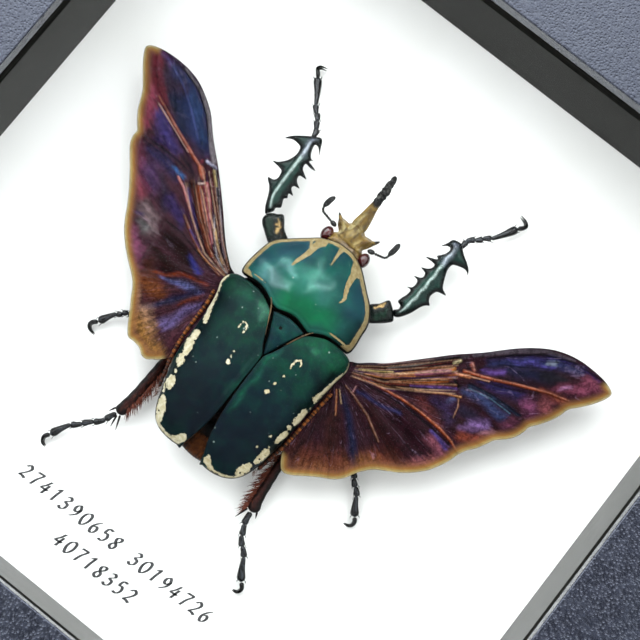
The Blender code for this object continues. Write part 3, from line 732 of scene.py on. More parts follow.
def skin_material(name, level, gloss, metal=0.0, dark=0.5, pitch=1.0, relief=0.08, shine=0.15):
    """Shell whose colours are painted on the vertices, mottled down to a share of their tone."""
    p = Paint(name)
    place = p.coords()
    mist = p.noise(place, 0.9 * pitch, 5.0, 0.65)
    fine = p.noise(place, 3.2 * pitch, 4.0, 0.65)
    tone = p.scale(p.tint(level), p.span(mist, 0.4, 0.7, 1.15, dark))
    tone = p.scale(tone, p.span(fine, 0.35, 0.7, 0.75, 1.35))
    height = p.calc("ADD", mist, p.calc("MULTIPLY", fine, 0.6))
    return p.finish(Base_Color=tone, Metallic=metal, Roughness=p.span(fine, 0.3, 0.7, gloss, gloss + 0.16),
                    Specular_IOR_Level=shine, Normal=p.bump(height, 0.5, relief))


def wing_material():
    """Wing membrane: streaks that fan out from the root, creased skin with painted highlights along its
    creases and a clear amber rim.
    """
    p = Paint("wing_membrane")
    fan = p.value("fan")
    reach = p.value("reach")
    edge = p.value("edge")
    trail = p.value("trail")
    streak = p.combine(p.calc("MULTIPLY", fan, 26.0), p.calc("MULTIPLY", reach, 0.1))
    streak = p.noise(streak, 1.0, 5.0, 0.65)
    place = p.coords()
    crinkle = p.noise(place, 1.1, 6.0, 0.75, 0.8)
    crease = p.combine(p.calc("MULTIPLY", fan, 11.0), p.calc("MULTIPLY", reach, 0.08))
    crease = p.noise(crease, 1.0, 1.6, 0.5, 0.4)
    fold = p.span(p.calc("ABSOLUTE", p.calc("SUBTRACT", crease, 0.5)), 0.0, 0.02, 1.0, 0.0)
    mist = p.noise(place, 0.22, 4.0, 0.65)
    grain = p.calc("MULTIPLY", p.span(streak, 0.32, 0.68, 1.3, 0.66),
                   p.span(crinkle, 0.38, 0.64, 1.45, 0.52))
    tone = p.scale(p.tint(0.35), grain)
    # Painted highlight: pale lilac along the creases, where the mist and crinkle allow.
    shine = p.calc("MULTIPLY", fold, p.span(mist, 0.46, 0.6, 0.0, 0.4))
    shine = p.calc("MULTIPLY", shine, p.span(crinkle, 0.42, 0.58, 1.0, 0.1))
    tone = p.mix(shine, tone, p.mix(0.5, p.tint(1.0), srgb(150, 128, 156)))
    amber = p.ramp(p.span(edge, 0.0, 2.4, 0.0, 1.0, smooth=False),
                   [(0.0, (0.36, 0.29, 0.14, 1.0)), (0.16, (0.24, 0.17, 0.058, 1.0)),
                    (0.36, (0.165, 0.076, 0.021, 1.0)), (0.66, (0.125, 0.052, 0.026, 1.0)),
                    (1.0, (0.11, 0.045, 0.03, 1.0))])
    amber = p.scale(amber, p.span(streak, 0.3, 0.7, 1.12, 0.86))
    rim = p.calc("MULTIPLY", trail, p.span(edge, 0.7, 2.5, 1.0, 0.0))
    tone = p.mix(rim, tone, amber)
    height = p.calc("ADD", p.calc("ADD", streak, p.calc("MULTIPLY", fold, 0.6)), crinkle)
    clear = p.calc("MULTIPLY", trail, p.span(edge, 0.0, 0.8, 0.4, 0.0))
    return p.finish(Base_Color=tone, Roughness=p.span(crinkle, 0.3, 0.7, 0.28, 0.42),
                    Alpha=p.calc("SUBTRACT", 1.0, clear), Specular_IOR_Level=0.03,
                    Normal=p.bump(height, 0.4, 0.1))


def eye_material():
    """Dark red compound eye with fine facets."""
    p = Paint("eye")
    place = p.coords()
    facet = p.cells(place, 7.0)
    cloud = p.noise(place, 0.8, 3.0, 0.6)
    tone = p.ramp(cloud, [(0.3, srgb(34, 7, 9)), (0.55, srgb(70, 14, 18)), (0.8, srgb(108, 44, 48))])
    tone = p.mix(p.span(facet, 0.3, 0.6, 0.0, 0.4), tone, srgb(24, 6, 8))
    return p.finish(Base_Color=tone, Roughness=0.14, Coat_Weight=0.6, Coat_Roughness=0.06,
                    Normal=p.bump(facet, 0.25, 0.03))


def hair_material(name, tone, tip):
    """Bristles whose colour varies in patches between the base tone and the paler tip tone."""
    p = Paint(name)
    vary = p.noise(p.coords(), 1.2, 3.0, 0.6)
    return p.finish(Base_Color=p.mix(p.span(vary, 0.3, 0.7), srgb(*tone), srgb(*tip)), Roughness=0.5,
                    Specular_IOR_Level=0.15)


def ink_material():
    """Grey printing ink, a little uneven."""
    p = Paint("printing_ink")
    vary = p.noise(p.coords(), 1.6, 4.0, 0.7)
    return p.finish(Base_Color=p.mix(p.span(vary, 0.35, 0.7), srgb(44, 44, 46), srgb(70, 70, 72)),
                    Roughness=0.7)


def floor_material():
    """Pale table top."""
    p = Paint("table_top")
    vary = p.noise(p.coords(), 0.02, 4.0, 0.6)
    return p.finish(Base_Color=p.mix(vary, srgb(206, 207, 210), srgb(216, 217, 219)), Roughness=0.75)


# Beetle

# Strokes: x, y and half width of each of their points
PALE_LEFT = [
    [(-16.4, -0.4, 0.22), (-16.8, -2, 0.25), (-16.1, -4.2, 0.3), (-15.4, -6.6, 0.32), (-14.9, -8.6, 0.4)],
    [(-14.7, -8.9, 0.45), (-14.4, -10.2, 0.55), (-14.1, -11.1, 0.42)],
    [(-13.9, -14, 0.72), (-13.9, -15.1, 0.7)],
    [(-13.8, -16.3, 0.85), (-13.4, -17.6, 0.9), (-13.1, -18.8, 0.6)],
    [(-13.3, -19.9, 0.62), (-12.9, -20.7, 0.85), (-12.6, -21.5, 0.42)],
    [(-12.4, -22.8, 0.26), (-12.2, -23.2, 0.26)],
    [(-11.9, -24.7, 0.75), (-11.4, -25.8, 0.72), (-11.1, -26.6, 0.38)],
    [(-12.5, -25.3, 0.3), (-12, -26.7, 0.3), (-11.6, -27.9, 0.22)],
    [(-10.9, -28.9, 0.5), (-10.3, -30, 0.85), (-9.6, -31.2, 0.95), (-9, -32.4, 0.65),
     (-8.5, -33.2, 0.45)],
    [(-9.4, -32.8, 0.35), (-8, -33.9, 0.32), (-6, -34.35, 0.26), (-4, -34.4, 0.3), (-2.4, -34.3, 0.3)],
    [(-4.3, -34, 0.2), (-3.1, -33.6, 0.65), (-2.5, -33.1, 0.95), (-2.4, -32.4, 0.5)]]
PALE_LEFT_MARKS = [
    [(-7.75, -6.1, 0.14), (-7.8, -7.7, 0.14)],
    [(-7.15, -5.95, 0.15), (-6.6, -6.3, 0.18), (-6.3, -7.1, 0.18), (-6.4, -8.0, 0.16)],
    [(-5.45, -12.2, 0.2)], [(-5.4, -13.3, 0.18), (-5.0, -13.5, 0.14)],
    [(-5.1, -14.4, 0.28), (-4.85, -14.9, 0.34)]]
PALE_RIGHT = [
    [(15.2, 0.9, 0.2), (15.7, 0, 0.24), (15.75, -1.6, 0.26), (15.3, -3, 0.34), (15, -5, 0.38),
     (14.6, -7.4, 0.38)],
    [(14.5, -7.8, 0.42), (14.3, -9, 0.52), (14.1, -9.7, 0.45)], [(14.6, -9.6, 0.2), (14.65, -10.3, 0.18)],
    [(14.6, -11.7, 0.2)],
    [(14.1, -12.9, 0.55), (14.2, -14.4, 0.75), (14, -15.9, 0.62)],
    [(13.6, -17.5, 0.52)],
    [(13.9, -18.9, 0.5), (13.6, -20, 0.58), (13.4, -21.5, 0.36)],
    [(11.7, -21.4, 0.3)], [(12.9, -23.3, 0.2)], [(10.9, -24.9, 0.22)],
    [(13.1, -24.5, 0.8), (13, -25.6, 0.72), (12.7, -27.3, 0.55)],
    [(12, -28.8, 0.55), (11.8, -29.8, 0.95), (11.3, -31, 0.78), (11.1, -31.6, 0.45)],
    [(12.2, -31.2, 0.3), (11.3, -32.6, 0.28), (9.6, -33.7, 0.26), (7.6, -34.25, 0.25),
     (6.2, -34.3, 0.35)],
    [(4.3, -32.6, 0.42), (4.6, -33.4, 0.8), (5.4, -34, 0.5), (6.6, -34.2, 0.3)]]
PALE_RIGHT_MARKS = [
    [(6.1, -7.6, 0.14), (5.85, -6.7, 0.18), (6.1, -5.7, 0.18), (6.8, -5.05, 0.18), (7.35, -5.6, 0.17),
     (7.5, -6.4, 0.14)],
    [(6.0, -9.7, 0.22)], [(5.6, -12.2, 0.26)], [(5.4, -14.3, 0.36), (5.15, -14.8, 0.34)],
     [(7.5, -12.5, 0.1)]]
DARK_SPOTS = [
    [(-9.8, -31.6, 0.22)], [(-12.3, -26.3, 0.1), (-11.4, -27.6, 0.1)], [(-12.4, -18.9, 0.1)],
    [(13.3, -25.2, 0.18)], [(12.9, -26.5, 0.24)], [(11.5, -31.2, 0.22)], [(-0.8, -2.35, 0.2)]]
THORAX_PALE = [
    [(-6.9, 17.6, 0.55), (-5.2, 17.9, 0.95), (-5.9, 16.6, 0.75), (-6.15, 15.2, 0.62), (-6.2, 14.2, 0.6),
     (-6.55, 13.1, 0.48), (-7.1, 11.4, 0.38), (-7.4, 9.9, 0.16)],
    [(-7.4, 16.6, 0.4), (-7, 15.8, 0.2), (-6.8, 15.2, 0.1)],
    [(-1.2, 19.6, 0.75), (-1.15, 18.3, 0.4), (-1.1, 16.8, 0.26), (-0.95, 15.4, 0.14),
     (-0.85, 14.4, 0.06)],
    [(3, 18.9, 0.7), (3.7, 17.8, 1), (4.2, 16.5, 0.8), (4.4, 15, 0.62), (4.7, 13.5, 0.5),
     (5.2, 12.3, 0.42), (5.8, 11.2, 0.36), (5.75, 10.4, 0.22), (5.5, 9.7, 0.1)],
    [(4.6, 17, 0.5), (5.4, 16.4, 0.14)],
    [(-13.9, 2.6, 0.9), (-12.6, 2.2, 0.5), (-11.9, 2, 0.2)],
    [(12.9, 3.1, 0.9), (12, 2.6, 0.55), (11.2, 2.2, 0.2)]]
# Painted layers: stroke, colour and softness
# Among these layers the pale teal strokes on the left and middle of the dome are painted highlights, and
# the dark strokes along its right side are painted shade.
THORAX_LAYERS = [
    ([(-8, 15, 3), (-11, 11, 2)], (38, 82, 94), 2.6),
    ([(0, 17.6, 2.4)], (26, 68, 76), 2),
    ([(7.5, 14.5, 2.6), (10.5, 10, 2.2)], (36, 74, 86), 2.4),
    ([(-12.6, 8, 1), (-12.8, 4.5, 0.6)], (34, 78, 92), 1.6),
    ([(12.2, 9, 0.8), (12.3, 4, 0.8)], (14, 32, 36), 1.8),
    ([(8.5, 2.6, 0.5), (12, 3.4, 0.4)], (16, 42, 40), 1.4),
    ([(-4, 3.6, 2.4), (1, 4, 3), (5, 5.2, 2.4)], (26, 112, 74), 3),
    ([(-11, 4.5, 1.4), (-8, 2.8, 0.6)], (52, 110, 106), 1.8),
    ([(-6, 8.6, 1.6), (-1, 10.5, 2), (3, 9.5, 1.4)], (58, 122, 110), 2.6),
    ([(-2.4, 13.2, 0.8), (-1.6, 10.8, 1.2)], (92, 158, 142), 1.7),
    ([(-11.6, 6.4, 0.8), (-11, 4.2, 0.8)], (88, 138, 138), 1.4),
    ([(-10.2, 6.6, 0.5), (-8.2, 4.9, 0.4), (-5, 5.6, 0.3)], (134, 178, 174), 1.5),
    ([(-9.6, 9.2, 0.3), (-6, 9, 0.4)], (112, 164, 160), 1.2),
    ([(-1.8, 8.2, 0.4), (1.8, 11, 0.3)], (118, 172, 160), 1.3),
    ([(0, 15.2, 1.2)], (26, 92, 84), 1.8)]
# Among these layers the pale green spots near the front of both cases are painted sheen, and the dark bands
# along the outer edges, wider on the right, are painted shade.
ELYTRA_LAYERS = [
    ([(-14, -1, 2.5), (14, -1, 2.5)], (26, 70, 56), 3),
    ([(-10, -2.2, 2.4), (-6, -2, 1.6)], (34, 92, 74), 2.6),
    ([(8, -1.2, 2.4), (11, -1, 1.6)], (34, 100, 74), 2.6),
    ([(-6.8, -1.4, 0.5), (-5.4, -2.6, 0.4)], (96, 156, 130), 1.3),
    ([(8.2, -1.5, 0.5)], (70, 130, 108), 1.3),
    ([(-8, -9, 5), (8, -9, 5)], (24, 66, 58), 4),
    ([(-7, -18, 6), (9, -17, 5.5)], (22, 50, 54), 4),
    ([(-6, -27, 7), (9, -27, 7)], (18, 36, 44), 5),
    ([(-12.5, -6, 1.4), (-12, -13, 1.2)], (22, 54, 54), 2),
    ([(14, -3, 1), (13.6, -16, 0.9), (13.4, -26, 1)], (10, 18, 20), 1.8),
    ([(-14.8, -5, 0.6), (-13.4, -16, 0.4), (-12, -26, 0.4)], (12, 24, 30), 1.2),
    ([(1.5, -9, 0.4), (1.4, -14, 0.5), (1.5, -18, 0.45), (1.7, -22, 0.2)], (32, 98, 76), 1.1),
    ([(-0.7, -9.4, 0.3), (-1.1, -14, 0.4), (-0.9, -20, 0.2)], (28, 82, 66), 1.1),
    ([(2.2, -6, 0.3), (1.2, -8.8, 0.3)], (40, 112, 86), 0.9),
    ([(0.3, -1.5, 2.4)], (30, 80, 74), 1.8),
    ([(0.4, -4.8, 1.3), (0.45, -8, 0.6)], (20, 50, 60), 1.5)]


def thorax_full(plan):
    """Height of the domed prothorax, before its edge turns down."""
    low, high = half_width(smooth_line(THORAX_OUTLINE, 0.5, True), np.clip(plan[:, 1], 2.4, 19.6))
    middle = (low + high) / 2.0
    across = np.clip(np.abs((plan[:, 0] - middle) / np.maximum((high - low) / 2.0, 0.5)), 0.0, 1.0)
    crest = table_at(THORAX_CREST, plan[:, 1])
    return THORAX_EDGE + (crest - THORAX_EDGE) * np.clip(1.0 - across ** 2.3, 0.0, 1.0) ** 0.62


def thorax_rim(plan):
    """Height of the prothorax at its turned-down edge."""
    full = thorax_full(plan)
    return full - np.minimum(full - THORAX_EDGE, 1.1)


def make_thorax(material):
    """The green shield of the prothorax with its straw-coloured border and streaks."""
    outline = smooth_line(THORAX_OUTLINE, 0.3, closed=True)

    def top(plan, depth):
        full = thorax_full(plan)
        rim = thorax_rim(plan)
        bead = 0.16 * np.exp(-((depth - 0.55) / 0.3) ** 2) - 0.1 * np.exp(-((depth - 1.15) / 0.25) ** 2)
        return rim + (full - rim) * roll(depth, 1.6) + np.where(depth > 0.0, bead, 0.0)

    def low(plan, depth):
        rim = thorax_rim(plan)
        return rim - (rim - 1.2) * roll(depth, 7.0)

    shape = shell(outline, 0.25, top, low, (0.12, 0.26, 0.42, 0.62))
    flat = unseen(shape.points, THORAX_PLANE)
    above = 1.0 - shape.values["under"]
    edge = shape.values["edge"]
    rim = THORAX_BORDER - edge
    rear = smoothstep(2.6, 3.4, flat[:, 1]) - 1.0
    pale = np.maximum(rim + rear * 3.0, most(flat, THORAX_PALE))
    thin = 0.34 - edge
    line = np.where((edge > THORAX_BORDER) & (edge < THORAX_LINE), -0.04, -0.4)
    under = np.where(above > 0.5, -1.0, 1.0)
    shape.values.update(pale=np.where(above > 0.5, pale, -1.0), warm=np.full(len(flat), 0.85),
                        black=np.maximum(np.maximum(thin, line + rear), under * 0.5))
    colours = paint(wobble(flat, 0.3, 5.0, 3), (36, 92, 86), THORAX_LAYERS)
    colours[:, :3] *= SHIELD_DIM
    make_piece("thorax_shield", shape, material, ("pronotum",), colours)


def elytron_full(plan, side):
    """Height of a wing case, before its edge turns down."""
    low, high = half_width(smooth_line(ELYTRON_OUTLINE[side], 0.5, True), np.clip(plan[:, 1], -34.6, 0.6))
    outer = high if side == "right" else low
    across = np.clip((plan[:, 0] - SUTURE_X) / (outer - SUTURE_X), 0.0, 1.0)
    crest = table_at(ELYTRON_CREST, plan[:, 1])
    base = ELYTRON_LOW + 0.8
    return base + (crest - base) * np.sqrt(np.clip(1.0 - across ** 2.1, 0.0, 1.0))


def make_wing_case(side, material):
    """One wing case: dark green, with pale blotches along its margin and a few marks on its disc."""
    outline = smooth_line(ELYTRON_OUTLINE[side], 0.3, closed=True)
    sign = 1.0 if side == "right" else -1.0

    def rim(plan):
        full = elytron_full(plan, side)
        drop = 0.25 + 0.55 * smoothstep(0.1, 0.4, np.abs(plan[:, 0] - SUTURE_X) / CASE_WIDE)
        return full - np.minimum(full - ELYTRON_LOW, drop)

    def top(plan, depth):
        full = elytron_full(plan, side)
        outer = smoothstep(0.55, 0.75, np.abs(plan[:, 0] - SUTURE_X) / CASE_WIDE)
        bead = 0.14 * np.exp(-((depth - 0.3) / 0.18) ** 2) - 0.16 * np.exp(-((depth - 0.75) / 0.22) ** 2)
        near = np.abs(plan[:, 0] - SUTURE_X)
        seam = 0.05 * np.exp(-((near - 0.9) / 0.3) ** 2) - 0.06 * np.exp(-((near - 1.7) / 0.4) ** 2)
        ribs = 0.06 * np.exp(-((near - 5.0) / 0.8) ** 2) + 0.06 * np.exp(-((near - 8.6) / 0.8) ** 2)
        lift = bead * outer + (seam + ribs) * smoothstep(-2.0, -12.0, plan[:, 1])
        wide = 0.18 + 0.62 * outer
        return rim(plan) + (full - rim(plan)) * roll(depth, wide) + np.where(depth > 0.0, lift, 0.0)

    def low(plan, depth):
        return rim(plan) - 0.05 * roll(depth, 0.4) + np.minimum(roll(depth, 1.0) * 0.15, 0.15)

    shape = shell(outline, 0.26, top, low, (0.14, 0.32, 0.55))
    flat = unseen(shape.points, CASE_PLANE)
    blotches = PALE_LEFT if side == "left" else PALE_RIGHT
    marks = PALE_LEFT_MARKS if side == "left" else PALE_RIGHT_MARKS
    above = 1.0 - shape.values["under"]
    pale = np.maximum(most(flat, blotches), most(flat, marks))
    black = np.maximum(most(flat, DARK_SPOTS), 0.12 - shape.values["edge"])
    black = np.where(above > 0.5, black, 0.5)
    shape.values.update(pale=np.where(above > 0.5, pale, -1.0), black=black,
                        warm=np.full(len(flat), 0.12 if sign < 0 else 0.3))
    colours = paint(wobble(flat, 0.3, 4.0, 7), (24, 58, 56), ELYTRA_LAYERS)
    # The left case's colours are darkened: painted shade that offsets the window light falling on that
    # side.
    colours[:, :3] *= 0.78 if sign < 0 else 1.0
    make_piece("wing_case_" + side, shape, material, ("elytron_" + side,), colours)


def make_shield(material):
    """The scutellum between the wing cases, with a pit near its front."""
    outline = smooth_line(SCUTELLUM_OUTLINE, 0.3, closed=True)

    def top(plan, depth):
        pit = 0.35 * bump_at(plan, -0.3, -2.9, 0.35)
        slope = 0.012 * (plan[:, 1] + 5.0)
        return SCUTELLUM_EDGE + 0.7 * roll(depth, 0.7) + slope + 0.25 * roll(depth, 2.2) - pit

    def low(_, depth):
        return SCUTELLUM_EDGE - 0.8 * roll(depth, 0.5)

    shape = shell(outline, 0.25, top, low, (0.15, 0.35))
    flat = unseen(shape.points, CASE_PLANE)
    dark = np.maximum(most(flat, [[(-0.8, -2.35, 0.4)]]), 0.2 - shape.values["edge"])
    dark = np.where(shape.values["under"] > 0.5, 0.5, dark)
    shape.values.update(pale=np.full(len(flat), -1.0), black=dark, warm=np.zeros(len(flat)))
    colours = paint(wobble(flat, 0.3, 3.0, 5), (22, 58, 60), ELYTRA_LAYERS[-2:])
    make_piece("shield", shape, material, ("scutellum",), colours)


def make_rims(material):
    """Thin straw-coloured ridges along the shoulders of the wing cases beside the scutellum."""
    routes = [
        [(-5.9, 1.0, 15.6, 0.12, 0.12), (-4.6, -0.6, 15.95, 0.16, 0.14), (-3.6, -2.6, 16.3, 0.15, 0.13),
         (-2.6, -4.6, 16.7, 0.1, 0.1), (-1.8, -6.2, 17.0, 0.06, 0.06)],
        [(5.6, 0.6, 15.7, 0.1, 0.1), (4.6, -0.9, 16.0, 0.13, 0.12), (3.6, -3.0, 16.4, 0.12, 0.1),
         (2.8, -5.0, 16.8, 0.07, 0.07)]]
    shape = join([tube(route, 0.3, 8) for route in routes])
    colours = paint(shape.points[:, :2], (126, 98, 58), [
        ([(-4.0, -2.0, 1.0)], (150, 122, 78), 0.8), ([(4.4, -1.0, 0.8)], (120, 96, 62), 0.8)])
    make_piece("case_ridges", shape, material, (), colours)


def make_abdomen(material):
    """The hind body: ringed below, with tawny sides that show past the wing cases."""
    sides = [(-0.2, 1.6), (2.4, 1.7), (4.4, 1.5), (6.6, 2.4), (8.3, 3.0), (10.5, 3.1), (12.4, 2.4),
             (13.7, -0.4),
             (15.2, -4.0), (16.4, -8.0), (16.7, -12.0),
             (16.5, -16.0), (15.9, -20.0), (14.9, -24.0), (13.3, -28.0), (10.5, -31.4), (6.5, -33.6),
             (1.2, -34.6), (-4.0, -33.6), (-8.5, -31.2), (-12.0, -27.0), (-14.6, -22.0), (-16.2, -17.0),
             (-16.9, -12.0), (-16.8, -8.0), (-15.8, -3.6), (-14.4, -0.4), (-13.2, 2.2), (-10.3, 3.2),
             (-8.2, 3.0),
             (-6.4, 2.2), (-4.6, 1.4), (-2.8, 1.5)]
    outline = smooth_line(sides, 0.35, closed=True)

    def top(plan, depth):
        rings = 0.12 * np.sin(plan[:, 1] * 2.0 * math.pi / 1.1) * (depth > 0.0)
        return ABDOMEN_EDGE + 1.2 * roll(depth, 1.6) + rings

    def low(plan, depth):
        rings = 0.25 * np.abs(np.sin((plan[:, 1] + 2.0) * math.pi / 5.2))
        return ABDOMEN_EDGE - (6.4 + rings) * roll(depth, 8.0)

    shape = shell(outline, 0.4, top, low, (0.2, 0.45))
    flat = shape.points[:, :2]
    # The black band across the front is painted shade under the overhanging shield and wing cases.
    colours = paint(wobble(flat, 0.3, 2.5, 9), (60, 32, 22), [
        ([(-13.0, 2.0, 3.6), (13.0, 2.0, 3.6)], (8, 8, 8), 1.2),
        ([(-16.6, -7.0, 0.9), (-16.6, -13.0, 0.9), (-15.9, -18.0, 0.7), (-14.4, -23.0, 0.5)],
          (196, 118, 54), 0.6),
        ([(16.4, -8.0, 0.7), (16.4, -14.0, 0.7), (15.9, -20.0, 0.5)], (160, 96, 52), 0.6)])
    make_piece("abdomen", shape, material, ("body",), colours)


FLANKS = {
    "left": [(-16.9, -4.6), (-16.3, -8.0), (-16.15, -12.0), (-15.9, -16.0), (-15.3, -20.0),
             (-14.2, -24.0), (-13.0, -27.6)],
    "right": [(16.2, -6.4), (15.9, -9.5), (15.7, -13.0), (15.5, -17.0), (15.2, -21.0), (14.6, -25.0),
              (13.9, -28.4)]}


def ribs(share, waves):
    """0 to 1 along a row of uneven ribs."""
    turn = share * waves
    return (0.5 + 0.27 * np.sin(turn + 2.2 * np.sin(share * 23.0)) + 0.17 * np.sin(turn * 0.37 + 1.0)
            + 0.12 * np.sin(turn * 1.83))


def make_flanks(material):
    """Tawny ridged sides of the hind body that show past the wing cases."""
    for side, line in FLANKS.items():
        route = [(x, y, FLANK_HEIGHT, 0.42, 0.3) for x, y in line]
        length = sum(math.dist(a, b) for a, b in zip(line[:-1], line[1:]))
        waves = 2.0 * math.pi * length / RIB_PITCH
        shape = tube(route, 0.12, 12, lambda share, _: 0.7 + 0.3 * ribs(share, waves))
        notch = ribs(shape.values["along"], waves)
        flat = shape.points[:, :2]
        layers = [([(*line[-1], 7.0)], (84, 42, 24), 4.0)]
        colours = paint(wobble(flat, 0.1, 2.0, 61), (150, 84, 34), layers)
        # Darkened in the grooves between the ribs: dark joints and painted shade in the grooves.
        colours[:, :3] *= (0.1 + 0.9 * smoothstep(0.3, 0.75, notch))[:, None]
        make_piece("flank_" + side, shape, material, (), colours)


# Limbs: x, y, height, half width and half height of each of their points
HORN_ROUTE = [
    (-1.5, 24.2, 7.7, 2.35, 1), (-1.5, 25.2, 7.9, 1.9, 0.95), (-1.47, 26.4, 8.25, 1.68, 0.95),
    (-1.45, 28, 8.8, 1.42, 0.9), (-1.5, 29.8, 9.4, 1.1, 0.82), (-1.48, 31.2, 9.9, 0.93, 0.78),
    (-1.55, 32.6, 10.35, 0.95, 0.8), (-1.45, 34.2, 10.9, 0.98, 0.8), (-1.6, 35.6, 11.35, 0.84, 0.7),
    (-1.55, 36.8, 11.7, 0.7, 0.6), (-1.68, 37.6, 11.95, 0.52, 0.5), (-1.7, 38.1, 12.1, 0.36, 0.35)]
HORN_TEETH = [
    [(-5.3, 24.2, 7.2, 0.5, 0.35), (-6.1, 24.8, 7.3, 0.36, 0.3), (-6.75, 25.35, 7.4, 0.16, 0.16)],
    [(2.9, 24.2, 7.2, 0.5, 0.35), (3.5, 25.0, 7.3, 0.36, 0.3), (4.0, 25.7, 7.4, 0.16, 0.16)]]


